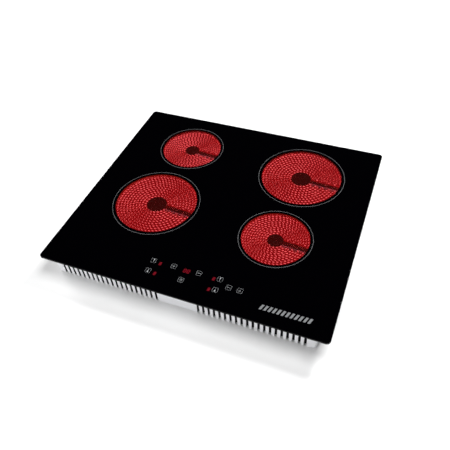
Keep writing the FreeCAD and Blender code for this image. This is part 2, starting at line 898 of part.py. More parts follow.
# Mains connection

def make_terminal_box():
    """An upturned plastic tub over the opening in the bottom, with the cable's inlet behind it."""
    half = box_width / 2
    top = sheet + box_height
    f = box_flange
    w = box_wall
    tub = box(mains_x - half, mains_x + half, box_front, box_back, sheet, top)
    flange = box(mains_x - half - f, mains_x + half + f, box_front - f, box_back + f, sheet, sheet + w)
    tub = tub.fuse(flange).removeSplitter()
    inside = box(mains_x - half + w, mains_x + half - w, box_front + w, box_back - w, sheet - 1, box_ceiling)
    tub = tub.cut(inside)
    y0 = box_back - w
    snout_length = wall_back + inlet_proud - y0
    additions = [rod_along(mains_x, y0, inlet_z, (0, 1, 0), snout_length, inlet_radius + inlet_wall)]
    for side in (-1, 1):
        x = mains_x + side * clamp_screw_x
        z0 = clamp_bar_z + clamp_bar[2]
        additions.append(cylinder(x, clamp_bar_y, z0, box_ceiling + 1, clamp_post_radius))
    tub = tub.fuse(additions).removeSplitter()
    cuts = [rod_along(mains_x, y0 - 1, inlet_z, (0, 1, 0), snout_length + 2, inlet_radius)]
    for side in (-1, 1):
        x = mains_x + side * clamp_screw_x
        z1 = clamp_bar_z + screw_length + 1
        cuts.append(cylinder(x, clamp_bar_y, sheet, z1, screw_radius + screw_play))
        x0 = mains_x + min(side * (half - w - 1), side * (half + 1))
        cuts.append(rod_along(x0, hinge_y, hinge_height, (1, 0, 0), w + 2, hinge_pin_radius + hinge_play))
    return tub.cut(cuts)


def make_terminal_cover():
    half = box_width / 2 - box_wall - cover_play
    y1 = box_back - box_wall - cover_play
    plate = box(mains_x - half, mains_x + half, hinge_y, y1, cover_lift, cover_lift + cover_thickness)
    barrel = rod_along(mains_x - half, hinge_y, hinge_height, (1, 0, 0), 2 * half, hinge_radius)
    length = 2 * (half + hinge_pin_length)
    pin = rod_along(mains_x - length / 2, hinge_y, hinge_height, (1, 0, 0), length, hinge_pin_radius)
    cover = plate.fuse([barrel, pin]).removeSplitter()
    grip = box(mains_x - 8, mains_x + 8, y1 - 4, y1 - 2, cover_lift - 1, cover_lift + 0.8)
    return cover.cut(grip)


def terminal_places():
    first = mains_x - (terminal_count - 1) / 2 * terminal_pitch
    return [first + i * terminal_pitch for i in range(terminal_count)]


def make_mains_terminals():
    width, depth, height = terminal_block
    y0 = terminal_block_y - depth / 2
    z0 = box_ceiling - height
    blocks = []
    for x in terminal_places():
        block = box(x - width / 2, x + width / 2, y0, y0 + depth, z0, box_ceiling)
        screw_hole = cylinder(x, terminal_block_y, z0 - 1, z0 + screw_length + 0.5, screw_radius + screw_play)
        blocks.append(block.cut(screw_hole))
    return blocks


def make_cable_clamp():
    length, width, height = clamp_bar
    x0 = mains_x - length / 2
    y0 = clamp_bar_y - width / 2
    bar = box(x0, x0 + length, y0, y0 + width, clamp_bar_z, clamp_bar_z + height)
    upright = [e for e in bar.Edges if e.BoundBox.ZLength > height / 2]
    bar = bar.makeFillet(width / 3, upright)
    z1 = clamp_bar_z + height
    cuts = [rod_along(mains_x, y0 - 1, z1 + inlet_radius - 1, (0, 1, 0), width + 2, inlet_radius)]
    for side in (-1, 1):
        x = mains_x + side * clamp_screw_x
        cuts.append(cylinder(x, clamp_bar_y, clamp_bar_z - 1, z1 + 1, screw_radius + screw_play))
    return bar.cut(cuts)


def make_screws():
    """Every M4 screw: casing to carrier, power board, mains terminals and cable clamp."""
    screws = [screw(*place, inward) for place, inward in tab_places()]
    screws += [screw(x, y, power_board_top, (0, 0, -1)) for x, y in standoff_places()]
    z = box_ceiling - terminal_block[2]
    screws += [screw(x, terminal_block_y, z, (0, 0, 1)) for x in terminal_places()]
    for side in (-1, 1):
        screws.append(screw(mains_x + side * clamp_screw_x, clamp_bar_y, clamp_bar_z, (0, 0, 1)))
    return screws


# Hold-down clamps

def make_hold_clamp(side, y, along):
    """A claw on an upright bolt, stowed along the side wall. It swings out under the worktop."""
    x = side * hold_axis_x
    z0 = hold_arm_z
    z1 = z0 + hold_arm_thickness
    ys = sorted((y, y + along * hold_arm_length))
    arm = box(x - hold_radius, x + hold_radius, ys[0], ys[1], z0, z1)
    end = y + along * hold_arm_length
    tip_ys = sorted((end, end - along * hold_tip_length))
    tip = box(x - hold_radius, x + hold_radius, tip_ys[0], tip_ys[1], z0, z1 + hold_tip_height)
    sleeve = cylinder(x, y, z0, ear_z - bolt_gap, hold_radius)
    claw = arm.fuse([tip, sleeve]).removeSplitter()
    return claw.cut(cylinder(x, y, z0 - 1, ear_z + 1, bolt_radius + bolt_play))


def make_clamp_bolts():
    bolts = []
    for side, y, _ in HOLD_CLAMPS.values():
        x = side * hold_axis_x
        z1 = hold_arm_z - bolt_gap
        z0 = z1 - bolt_head_height
        head = cylinder(x, y, z0, z1, bolt_head_radius)
        head = head.makeChamfer(0.5, edges_at(head, z0))
        shank = cylinder(x, y, z1 - 0.5, bolt_top, bolt_radius)
        slot = box(x - 2.5, x + 2.5, y - 0.5, y + 0.5, z0 - 1, z0 + 1.2)
        bolts.append(head.fuse(shank).removeSplitter().cut(slot))
    return bolts


# Write each piece to its own file

def save(name, shape):
    solids = shape if isinstance(shape, list) else [shape]
    for solid in solids:
        assert solid.isValid() and len(solid.Solids) == 1, name
    result = Part.makeCompound(solids) if len(solids) > 1 else solids[0].Solids[0]
    result.exportStep(os.path.join("parts", name + ".step"))
    volume = sum(s.Volume for s in solids)
    print(f"{name:28s} {len(solids):3d} solid(s) {volume / 1000:9.2f} cm3")


save("glass_top", make_glass())
save("worktop_seal", make_seal())
save("glass_bond", carrier_ring(bond_inset, carrier_top, glass_bottom))
save("glass_carrier", make_carrier())
save("base_casing", make_casing())
save("m4_screws", make_screws())
save("heat_shield", make_shield())
save("heater_rail_left", make_rail(-1))
save("heater_rail_right", make_rail(1))
for zone, sizes in ZONES.items():
    save("heater_pan_" + zone, make_pan(*sizes))
    save("heater_base_" + zone, make_base(*sizes))
    save("heater_wall_" + zone, make_wall(*sizes))
    save("heater_ribbon_" + zone, make_ribbon(*sizes))
    save("limiter_rod_" + zone, make_limiter_rod(*sizes))
    save("limiter_switch_" + zone, make_limiter_switch(*sizes))
    save("heater_terminal_" + zone, make_heater_terminal(*sizes))
    save("heater_spring_" + zone, make_heater_spring(*sizes))
save("touch_board", make_touch_board())
save("board_tray", make_board_tray())
save("touch_springs", make_touch_springs())
save("zone_displays", make_zone_displays())
save("timer_display", make_timer_display())
save("power_board", make_power_board())
save("relays", make_relays())
save("flat_cable", make_flat_cable())
save("fan_frame", make_fan_frame())
save("fan_rotor", make_fan_rotor())
save("terminal_box", make_terminal_box())
save("terminal_cover", make_terminal_cover())
save("mains_terminals", make_mains_terminals())
save("cable_clamp", make_cable_clamp())
for corner, place in HOLD_CLAMPS.items():
    save("hold_clamp_" + corner, make_hold_clamp(*place))
save("clamp_bolts", make_clamp_bolts())
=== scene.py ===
# %% [markdown]
# # A built-in ceramic hob
# This lesson finishes a hob whose metal, glass and plastic parts were drawn in CAD. The packed
# CAD model is loaded first and never moved: every new piece is placed from its boxes. A radiant
# hob is mostly one sheet of black glass, so the work goes into what shines through it.

# %% Load the frame
import math

import bmesh
import bpy
from mathutils import Matrix, Vector


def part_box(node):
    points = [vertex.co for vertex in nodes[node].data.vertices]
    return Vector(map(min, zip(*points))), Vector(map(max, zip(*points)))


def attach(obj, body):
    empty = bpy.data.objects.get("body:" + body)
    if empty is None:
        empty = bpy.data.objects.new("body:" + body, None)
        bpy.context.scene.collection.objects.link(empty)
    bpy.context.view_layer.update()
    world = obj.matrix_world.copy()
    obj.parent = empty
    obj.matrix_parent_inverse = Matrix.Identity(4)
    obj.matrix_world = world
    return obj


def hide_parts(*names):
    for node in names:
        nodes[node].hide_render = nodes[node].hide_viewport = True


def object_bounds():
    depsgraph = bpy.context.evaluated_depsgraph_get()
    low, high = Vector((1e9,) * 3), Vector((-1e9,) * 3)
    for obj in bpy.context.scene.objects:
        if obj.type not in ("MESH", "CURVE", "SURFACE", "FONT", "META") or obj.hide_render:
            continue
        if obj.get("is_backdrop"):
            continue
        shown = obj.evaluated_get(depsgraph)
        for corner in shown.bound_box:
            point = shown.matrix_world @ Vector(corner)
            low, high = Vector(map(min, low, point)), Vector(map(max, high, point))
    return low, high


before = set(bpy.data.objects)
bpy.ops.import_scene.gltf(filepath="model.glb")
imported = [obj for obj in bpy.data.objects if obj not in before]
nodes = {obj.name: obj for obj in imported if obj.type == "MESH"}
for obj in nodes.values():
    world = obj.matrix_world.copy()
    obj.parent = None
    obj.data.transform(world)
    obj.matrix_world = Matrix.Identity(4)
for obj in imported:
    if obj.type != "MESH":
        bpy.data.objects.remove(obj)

cad_low, cad_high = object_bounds()
scene = bpy.context.scene
MM = 0.001


def add_object(name, data):
    made = bpy.data.objects.new(name, data)
    scene.collection.objects.link(made)
    return made


def mesh_from(shape, name):
    """A finished mesh from a bmesh, which is freed."""
    mesh = bpy.data.meshes.new(name)
    shape.to_mesh(mesh)
    shape.free()
    return mesh


def applied(piece):
    """The plain mesh that an object's modifiers give."""
    ready = piece.evaluated_get(bpy.context.evaluated_depsgraph_get())
    return bpy.data.meshes.new_from_object(ready)


print("hob, millimetres:", [round(side / MM, 1) for side in cad_high - cad_low])

# %% [markdown]
# ## Sizes that come from the frame
# Each heater is an insulated dish with a ring wall around it, and the wall's inner edge is where
# the glow ends. Measuring the wall's own mesh gives each zone's centre and glowing radius, so a
# change in CAD carries through to the ribbons, the windows in the enamel and the printed rings.

# %% Measure the glass and the four heaters
glass_low, glass_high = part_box("glass_top")
GLASS_TOP = glass_high.z
ZONES = ("rear_left", "front_left", "rear_right", "front_right")


class Heater:
    """Where one heater is, and the radii of its glow and of its hub."""

    def __init__(self, zone):
        low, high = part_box("heater_wall_" + zone)
        self.zone = zone
        self.body = "heater_" + zone
        self.x = (low.x + high.x) / 2
        self.y = (low.y + high.y) / 2
        self.floor = low.z
        wall = nodes["heater_wall_" + zone].data.vertices
        self.glow = min(math.hypot(v.co.x - self.x, v.co.y - self.y) for v in wall)
        self.hub = self.measure_hub()

    def measure_hub(self):
        """The hub stands above the floor, and its side is upright, so its widest ring is its radius."""
        slab = nodes["heater_base_" + self.zone].data.vertices
        raised = [v.co for v in slab if v.co.z > self.floor + 1 * MM]
        return max(math.hypot(p.x - self.x, p.y - self.y) for p in raised)


heaters = [Heater(zone) for zone in ZONES]
for heater in heaters:
    print(heater.zone, "glow", round(heater.glow / MM, 1), "hub", round(heater.hub / MM, 1))

# %% [markdown]
# ## Writing node trees as sums
# A shader is a graph, but most of it is arithmetic. The Value class wraps a socket so that
# `1 - mask * 0.3` adds the Math nodes by itself, and every other node comes from one method,
# Tree.node, which sets a node's options before it fills its sockets.


# %% Sockets that can be summed
class Value:
    """One output socket that can be used in Python sums."""

    def __init__(self, tree, socket):
        self.tree = tree
        self.socket = socket

    def __add__(self, other):
        return self.tree.maths("ADD", self, other)

    def __sub__(self, other):
        return self.tree.maths("SUBTRACT", self, other)

    def __rsub__(self, other):
        return self.tree.maths("SUBTRACT", other, self)

    def __mul__(self, other):
        return self.tree.maths("MULTIPLY", self, other)

    def __truediv__(self, other):
        return self.tree.maths("DIVIDE", self, other)

    def __rtruediv__(self, other):
        return self.tree.maths("DIVIDE", other, self)

    def __pow__(self, other):
        return self.tree.maths("POWER", self, other)

    def __abs__(self):
        return self.tree.maths("ABSOLUTE", self)

    __radd__ = __add__
    __rmul__ = __mul__


# %% [markdown]
# ## One class for every node tree
# Shaders, the sky and Geometry Nodes are all drawn up by the same class. Its methods are the few
# moves that real surfaces need again and again: noise, cells, soft steps, mixes and relief, and
# for shapes a section that is swept along a curve.


# %% A small language for node trees
class Tree:
    """A node tree that is drawn up by method calls."""

    def __init__(self, node_tree):
        self.nodes = node_tree.nodes
        self.links = node_tree.links

    def node(self, kind, inputs=None, output=0, stops=None, **settings):
        """Add one node: its settings first, then its inputs as values or links."""
        made = self.nodes.new(kind)
        for name, setting in settings.items():
            setattr(made, name, setting)
        if stops:
            self.set_stops(made.color_ramp, stops)
        for name, value in (inputs or {}).items():
            self.fill(made.inputs[name], value)
        return Value(self, made.outputs[output]) if len(made.outputs) else made

    def fill(self, socket, value):
        if isinstance(value, Value):
            self.links.new(value.socket, socket)
        else:
            socket.default_value = value

    def set_stops(self, ramp, stops):
        while len(ramp.elements) < len(stops):
            ramp.elements.new(0.5)
        for element, (place, colour) in zip(ramp.elements, stops):
            element.position = place
            element.color = colour

    def maths(self, operation, *values):
        return self.node("ShaderNodeMath", dict(enumerate(values)), operation=operation)

    def largest(self, *values):
        """The largest of several numbers, and so the union of several masks."""
        most = values[0]
        for value in values[1:]:
            most = self.maths("MAXIMUM", most, value)
        return most

    def distance(self, x, y):
        """How far (x, y) lies from (0, 0)."""
        return self.maths("SQRT", x ** 2 + y ** 2)

    def ramp_up(self, value, low, high):
        """0 below low, 1 above high, and a soft step between them."""
        inputs = {"Value": value, "From Min": low, "From Max": high}
        return self.node("ShaderNodeMapRange", inputs, interpolation_type="SMOOTHSTEP")

    def mix(self, share, first, second):
        """Two colours, the second one shown where share is 1."""
        inputs = {0: share, 6: first, 7: second}
        return self.node("ShaderNodeMix", inputs, output=2, data_type="RGBA")

    def object_place(self):
        return self.node("ShaderNodeTexCoord", output=3)

    def axes(self, place):
        """The three parts of a vector, as numbers."""
        split = self.nodes.new("ShaderNodeSeparateXYZ")
        self.fill(split.inputs[0], place)
        return [Value(self, socket) for socket in split.outputs]

    def stretched(self, place, x, y, z):
        return self.node("ShaderNodeMapping", {"Vector": place, "Scale": (x, y, z)})

    def noise(self, place, scale, detail=3.0):
        inputs = {"Vector": place, "Scale": scale, "Detail": detail}
        return self.node("ShaderNodeTexNoise", inputs)

    def cells(self, place, scale, output=0, feature="F1"):
        inputs = {"Vector": place, "Scale": scale}
        return self.node("ShaderNodeTexVoronoi", inputs, output=output, feature=feature)

    def bump(self, height, distance, strength=1.0):
        inputs = {"Height": height, "Distance": distance, "Strength": strength}
        return self.node("ShaderNodeBump", inputs)

    def scaled(self, vector, size):
        return self.node("ShaderNodeVectorMath", {0: vector, "Scale": size}, operation="SCALE")

    def surface(self, inputs):
        return self.node("ShaderNodeBsdfPrincipled", inputs)

    def rectangle(self, width, height):
        return self.node("GeometryNodeCurvePrimitiveQuadrilateral", {"Width": width, "Height": height})

    def sweep(self, curve, section, caps=False):
        """A section that is drawn along a curve."""
        inputs = {"Curve": curve, "Profile Curve": section, "Fill Caps": caps}
        return self.node("GeometryNodeCurveToMesh", inputs)

    def flat_sweep(self, curve, section, caps=False):
        """The same, with the section kept upright."""
        level = self.node("GeometryNodeSetCurveNormal", {"Curve": curve}, mode="Z_UP")
        return self.sweep(level, section, caps)

    def copies(self, points, instance, **settings):
        inputs = {"Points": points, "Instance": instance, **settings}
        return self.node("GeometryNodeInstanceOnPoints", inputs)


# %% Finishes and how a CAD node wears one
def finish(name, draw):
    """A new material whose surface is what draw(tree, place) returns."""
    made = bpy.data.materials.new(name)
    made.use_nodes = True
    made.node_tree.nodes.clear()
    tree = Tree(made.node_tree)
    tree.node("ShaderNodeOutputMaterial", {"Surface": draw(tree, tree.object_place())})
    print("finish", name, "takes", len(tree.nodes), "nodes")
    return made


def grey(level, warmth=0.0):
    """A neutral colour, a little warmer or colder."""
    return (level * (1 + warmth), level, level * (1 - warmth), 1.0)


def wear(node_name, material):
    """Give a CAD node its finish: the material goes on the object's own slots."""
    piece = nodes[node_name]
    if not piece.material_slots:
        piece.data.materials.append(material)
    for slot in piece.material_slots:
        slot.link = "OBJECT"
        slot.material = material


print("a neutral grey reads", grey(0.5))

# %% [markdown]
# ## The camera
# The camera looks down on the front right corner from about a metre away. Its three axes are
# worked out from an azimuth, an elevation and a small roll, because the horizon is not quite
# level, and they become the columns of its matrix.

# %% Place the camera
AZIMUTH = math.radians(24.142)
ELEVATION = math.radians(47.157)
ROLL = math.radians(-4.026)
DISTANCE = 1.05304
FOCAL_LENGTH = 40.863
SENSOR_WIDTH = 36
TARGET = Vector((0.028763, -0.062196, GLASS_TOP))

back = Vector((
    math.sin(AZIMUTH) * math.cos(ELEVATION),
    -math.cos(AZIMUTH) * math.cos(ELEVATION),
    math.sin(ELEVATION),
))
level_right = Vector((0, 0, 1)).cross(back).normalized()
level_up = back.cross(level_right)
right = math.cos(ROLL) * level_right + math.sin(ROLL) * level_up
up = math.cos(ROLL) * level_up - math.sin(ROLL) * level_right

camera = add_object("camera", bpy.data.cameras.new("camera"))
camera.data.lens = FOCAL_LENGTH
camera.data.sensor_width = SENSOR_WIDTH
facing = Matrix((right, up, back)).transposed().to_4x4()
camera.matrix_world = Matrix.Translation(TARGET + back * DISTANCE) @ facing
scene.camera = camera
print("camera stands at", [round(v, 3) for v in camera.matrix_world.translation])

# %% [markdown]
# ## The studio
# Black glass shows whatever it mirrors, so the studio is dark overhead and pale only near the
# horizon: from above the glass stays black, and from the side it picks up a pale sheen. The lamps
# are kept out of mirrors for the same reason. The floor burns out to white, and its bounce is what
# lights the casing's front.

# %% Floor, sky and lamps
FLOOR_REACH = 5.0
FADE_START = 1.0
FADE_END = 2.2
FLOOR_LEVEL = -0.3 * MM
scene.view_settings.view_transform = "Standard"


def draw_floor(tree, place):
    """White card that glows a little far away, so that it meets the pale sky without an edge."""
    speck = tree.noise(place, 3.0)
    x, y, z = tree.axes(place)
    away = tree.distance(x, y)
    return tree.surface({
        "Base Color": tree.mix(speck, grey(0.86), grey(0.9)),
        "Roughness": 0.6,
        "Emission Color": tree.mix(tree.ramp_up(away, FADE_START, FADE_END), grey(0.0), grey(0.8)),
        "Emission Strength": 1.0,
    })


floor_mesh = bpy.data.meshes.new("floor")
signs = ((-1, -1), (1, -1), (1, 1), (-1, 1))
corners = [(x * FLOOR_REACH, y * FLOOR_REACH, FLOOR_LEVEL) for x, y in signs]
floor_mesh.from_pydata(corners, [], [(0, 1, 2, 3)])
floor_mesh.materials.append(finish("studio_floor", draw_floor))
floor = add_object("floor", floor_mesh)
floor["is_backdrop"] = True

SKY_HORIZON = 1.0
SKY_OVERHEAD = 0.004
PALE_BELOW = 0.20
DARK_ABOVE = 0.36
sky = bpy.data.worlds.new("studio")
sky.use_nodes = True
sky.node_tree.nodes.clear()
tree = Tree(sky.node_tree)
direction = tree.node("ShaderNodeTexCoord", output=0)
height = tree.axes(direction)[2]
darkness = tree.ramp_up(height, PALE_BELOW, DARK_ABOVE)
level = SKY_HORIZON + darkness * (SKY_OVERHEAD - SKY_HORIZON)
background = tree.node("ShaderNodeBackground", {"Color": grey(1.0), "Strength": level})
tree.node("ShaderNodeOutputWorld", {"Surface": background})
scene.world = sky


def add_lamp(name, place, aim, size, watts):
    """A soft rectangular lamp that points at a spot, and that the glass doesn't mirror."""
    light = bpy.data.lights.new(name, "AREA")
    light.shape = "RECTANGLE"
    light.size, light.size_y = size
    light.energy = watts
    lamp = add_object(name, light)
    lamp.visible_glossy = False
    lamp.location = place
    lamp.rotation_euler = (Vector(aim) - Vector(place)).to_track_quat("-Z", "Y").to_euler()


add_lamp("overhead_lamp", (0.3, -0.05, 1.7), (0.0, -0.05, 0.0), (1.0, 0.6), 20)
add_lamp("rear_lamp", (0.85, 1.3, 1.6), (0.0, 0.0, 0.0), (0.5, 0.5), 44)
add_lamp("front_lamp", (-0.9, -1.6, 1.1), (0.0, -0.2, 0.0), (1.0, 0.6), 20)
add_lamp("left_lamp", (-2.2, 1.0, 0.9), (-0.6, 0.3, 0.0), (1.0, 0.5), 32)
print("studio ready")

# %% [markdown]
# ## Geometry Nodes as recipes
# Ribbons, rings, key outlines, coils and screws all follow a path or repeat, so Geometry Nodes
# make them. A recipe is one tree with named sizes. It runs once on a starting mesh, and only the
# plain mesh that comes out is kept, so nothing live is left on a finished piece.


# %% Recipes and the pieces they grow
def recipe(name, sizes, draw):
    """A Geometry Nodes tree: sizes names its inputs, and draw(tree, given) returns the shape."""
    group = bpy.data.node_groups.new(name, "GeometryNodeTree")
    face = group.interface
    face.new_socket(name="Start", in_out="INPUT", socket_type="NodeSocketGeometry")
    for size in sizes:
        kind = sizes[size] if isinstance(sizes, dict) else "NodeSocketFloat"
        face.new_socket(name=size, in_out="INPUT", socket_type=kind)
    face.new_socket(name="Material", in_out="INPUT", socket_type="NodeSocketMaterial")
    face.new_socket(name="Result", in_out="OUTPUT", socket_type="NodeSocketGeometry")
    tree = Tree(group)
    entry = tree.nodes.new("NodeGroupInput")
    given = {socket.name: Value(tree, socket) for socket in entry.outputs if socket.name}
    real = tree.node("GeometryNodeRealizeInstances", {"Geometry": draw(tree, given)})
    dressed = tree.node("GeometryNodeSetMaterial", {"Geometry": real, "Material": given["Material"]})
    tree.node("NodeGroupOutput", {"Result": dressed})
    print("recipe", name, "takes", len(tree.nodes), "nodes")
    return group


def grow(name, group, start, sizes, material):
    """Run a recipe on a starting mesh, and keep the plain mesh that it gives."""
    piece = add_object(name, start)
    modifier = piece.modifiers.new("recipe", "NODES")
    modifier.node_group = group
    chosen = {**sizes, "Material": material}
    for socket in group.interface.items_tree:
        if socket.in_out == "INPUT" and socket.name in chosen:
            modifier[socket.identifier] = chosen[socket.name]
    mesh = applied(piece)
    piece.modifiers.clear()
    piece.data = mesh
    print(name, "has", len(mesh.polygons), "faces")
    return piece


def settle(piece, body, slot, *replaced):
    """A finished piece rides on its body and stands for its CAD nodes; slot is not used."""
    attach(piece, body)
    if replaced:
        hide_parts(*replaced)


def dots(name, places):
    """A mesh of loose points, for a recipe to put something on."""
    mesh = bpy.data.meshes.new(name)
    mesh.from_pydata([tuple(place) for place in places], [], [])
    return mesh


def line(name, places):
    """A mesh of points joined in a row, for a recipe to follow."""
    mesh = bpy.data.meshes.new(name)
    steps = [(i, i + 1) for i in range(len(places) - 1)]
    mesh.from_pydata([tuple(place) for place in places], steps, [])
    return mesh


# %% [markdown]
# ## Places that come from the CAD
# One CAD node can hold many equal solids, such as nine touch springs or twenty screws. Walking
# along the edges from corner to corner splits the mesh into its solids, and their boxes say where
# each key, digit and screw belongs.


# %% Find the separate solids in one node
def solid_points(node):
    """The corners of each separate solid in one CAD node."""
    shape = bmesh.new()
    shape.from_mesh(nodes[node].data)
    bmesh.ops.remove_doubles(shape, verts=shape.verts, dist=0.001 * MM)
    waiting = set(shape.verts)
    solids = []
    for first in shape.verts:
        if first not in waiting:
            continue
        waiting.remove(first)
        front = [first]
        members = []
        while front:
            vertex = front.pop()
            members.append(vertex.co.copy())
            for edge in vertex.link_edges:
                other = edge.other_vert(vertex)
                if other in waiting:
                    waiting.remove(other)
                    front.append(other)
        solids.append(members)
    shape.free()
    return solids


def extent(points):
    """The box around some points."""
    low = Vector([min(p[i] for p in points) for i in range(3)])
    high = Vector([max(p[i] for p in points) for i in range(3)])
    return low, high


def separate_solids(node):
    """The box of each solid in a CAD node, from left to right and back to front."""
    boxes = [extent(points) for points in solid_points(node)]
    return sorted(boxes, key=lambda b: (round(b[0].x + b[1].x, 4), -b[0].y - b[1].y))


def middle(box):
    return (box[0] + box[1]) / 2


keys = [middle(box) for box in separate_solids("touch_springs")]
digits = separate_solids("zone_displays")
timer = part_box("timer_display")
print(len(keys), "touch keys and", len(digits), "zone displays found")

# %% [markdown]
# ## The ceramic glass
# The plate is dark glass-ceramic with black enamel on its underside. The enamel leaves a round
# window over each heater and a small one over each display, and there the tinted glass lets a
# little light through. Alpha does that: each face lets about a fifth of the light pass.

# %% Black glass with windows
WINDOW_TRIM = 0.4 * MM
WINDOW_BLUR = 0.5 * MM
FACE_ALPHA = 0.80
ASLANT_SIDE = 1.8 * MM
ASLANT_FRONT = 4.2 * MM


def disc(tree, x, y, centre_x, centre_y, radius, blur):
    """1 inside a circle, with a soft edge."""
    away = tree.distance(x - centre_x, y - centre_y)
    return 1 - tree.ramp_up(away, radius - blur, radius + blur)


def panel(tree, x, y, box, blur):
    """1 inside a rectangle, with a soft edge."""
    centre = middle(box)
    over_x = abs(x - centre.x) - (box[1].x - box[0].x) / 2
    over_y = abs(y - centre.y) - (box[1].y - box[0].y) / 2
    return 1 - tree.ramp_up(tree.largest(over_x, over_y), -blur, blur)


def seen_aslant(box):
    """A display's window, let out to the front and sides for a cook who looks down at a slant."""
    return (box[0] - Vector((ASLANT_SIDE, ASLANT_FRONT, 0)), box[1] + Vector((ASLANT_SIDE, 0, 0)))


def draw_glass(tree, place):
    x, y, z = tree.axes(place)
    windows = [disc(tree, x, y, h.x, h.y, h.glow - WINDOW_TRIM, WINDOW_BLUR) for h in heaters]
    windows += [panel(tree, x, y, seen_aslant(box), WINDOW_BLUR) for box in digits + [timer]]
    window = tree.largest(*windows)
    smear = tree.noise(tree.stretched(place, 1.0, 0.45, 1.0), 9.0, detail=4.0)
    fine = tree.noise(place, 160.0, detail=2.0)
    ripple = tree.noise(place, 14.0, detail=1.0)
    polished = tree.surface({
        "Base Color": tree.mix(fine, (0.0001, 0.0001, 0.0003, 1), (0.0002, 0.0001, 0.0005, 1)),
        "Roughness": 0.035 + tree.ramp_up(smear, 0.45, 0.8) * 0.05 + fine * 0.01,
        "Alpha": 1 - window * (1 - FACE_ALPHA),
        "IOR": 1.5,
        "Normal": tree.bump(ripple, 0.05 * MM, 0.3),
    })
    upright = abs(tree.axes(tree.node("ShaderNodeTexCoord", output=1))[2])
    on_edge = 1 - tree.ramp_up(upright, 0.55, 0.9)
    ground = tree.surface({
        "Base Color": tree.mix(fine, grey(0.002), grey(0.005)),
        "Roughness": 0.55 + fine * 0.1,
        "Specular IOR Level": 0.1,
    })
    return tree.node("ShaderNodeMixShader", {0: on_edge, 1: polished, 2: ground})


black_glass = finish("black_glass", draw_glass)
wear("glass_top", black_glass)
print("glass lets", round((1 - FACE_ALPHA) ** 2, 3), "of the light through at each window")

# %% [markdown]
# ## The red-hot ribbons
# Each heater holds one corrugated strip, pressed on edge into the insulation. It runs round
# almost a full turn, bends back, and runs round again in a wider loop, so that its two ends come
# out side by side and the limiter rod keeps a clear way in. Arcs give that path, and a recipe
# turns the path into a waved strip.

# %% The strip's path
LOOPS = 10
LIMITER_ANGLE = -4.5
LIMITER_CHANNEL = 19.0 * MM
STRIP_MARGIN = 3.2 * MM
STRIP_CAD_THICKNESS = 0.8 * MM
PATH_STEP = 1.0 * MM


def arc_points(centre, radius, start, end):
    """Points along an arc, about one step apart, without the last one."""
    count = max(4, round(abs(math.radians(end - start)) * radius / PATH_STEP))
    angles = [math.radians(start + (end - start) * i / count) for i in range(count)]
    return [centre + Vector((radius * math.cos(a), radius * math.sin(a), 0)) for a in angles]


def strip_path(heater, height):
    """The centre line of a heater's strip, at the given height."""
    first = heater.hub + STRIP_MARGIN - STRIP_CAD_THICKNESS / 2
    last = heater.glow - STRIP_MARGIN
    pitch = (last - first) / (LOOPS - 1)
    clear = LIMITER_CHANNEL / 2 + STRIP_CAD_THICKNESS / 2
    radii = [first + i * pitch for i in range(LOOPS)]
    bends = [math.degrees(math.asin((clear + pitch / 2) / (r + pitch / 2))) for r in radii[:-1]]
    free = [math.degrees(math.asin(clear / r)) for r in (radii[0], radii[-1])]
    near = [free[0]] + bends
    far = bends + [free[1]]
    points = []
    for i, radius in enumerate(radii):
        onward = i % 2 == 0
        start = near[i] if onward else 360 - near[i]
        end = 360 - far[i] if onward else far[i]
        points += arc_points(Vector((0, 0, 0)), radius, start, end)
        if i < LOOPS - 1:
            turn = math.radians(end)
            centre = Vector((math.cos(turn), math.sin(turn), 0)) * (radius + pitch / 2)
            half_turn = 180 if onward else -180
            points += arc_points(centre, pitch / 2, end + half_turn, end)
    spin = Matrix.Rotation(math.radians(LIMITER_ANGLE), 4, "Z")
    place = Matrix.Translation((heater.x, heater.y, height))
    return [place @ spin @ p for p in points]


for heater in heaters:
    points = strip_path(heater, heater.floor)
    length = sum((b - a).length for a, b in zip(points, points[1:]))
    print(heater.zone, "strip follows", round(length, 2), "m of path")

# %% The strip's recipe
WAVE_LENGTH = 7.6 * MM
WAVE_HEIGHT = 0.8 * MM
STRIP_THICKNESS = 0.35 * MM
STEPS_PER_WAVE = 8.0


def draw_strip(tree, given):
    """A path becomes a strip on edge, waved from side to side."""
    path = tree.node("GeometryNodeMeshToCurve", {"Mesh": given["Start"]})
    step = given["Wave Length"] / given["Steps"]
    fine = tree.node("GeometryNodeResampleCurve", {"Curve": path, "Length": step}, mode="LENGTH")
    beat = tree.node("GeometryNodeSplineParameter", output=1) / given["Wave Length"]
    tangent = tree.node("GeometryNodeInputTangent")
    sideways = tree.node("ShaderNodeVectorMath", {0: tangent, 1: (0, 0, 1)}, operation="CROSS_PRODUCT")
    swing = tree.maths("SINE", beat * math.tau) * given["Wave Height"]
    offset = tree.scaled(sideways, swing)
    marked = tree.node(
        "GeometryNodeStoreNamedAttribute", {"Geometry": fine, "Name": "beat", "Value": beat},
        data_type="FLOAT", domain="POINT")
    waved = tree.node("GeometryNodeSetPosition", {"Geometry": marked, "Offset": offset})
    section = tree.rectangle(given["Thickness"], given["Height"])
    return tree.flat_sweep(waved, section, caps=True)


strip_sizes = ("Wave Length", "Wave Height", "Steps", "Thickness", "Height")
strip_recipe = recipe("waved_strip", strip_sizes, draw_strip)

# %% The strip's glow
GLOW_LOW = 4.6
GLOW_HIGH = 26.0
HOT_EDGE = 2.5 * MM


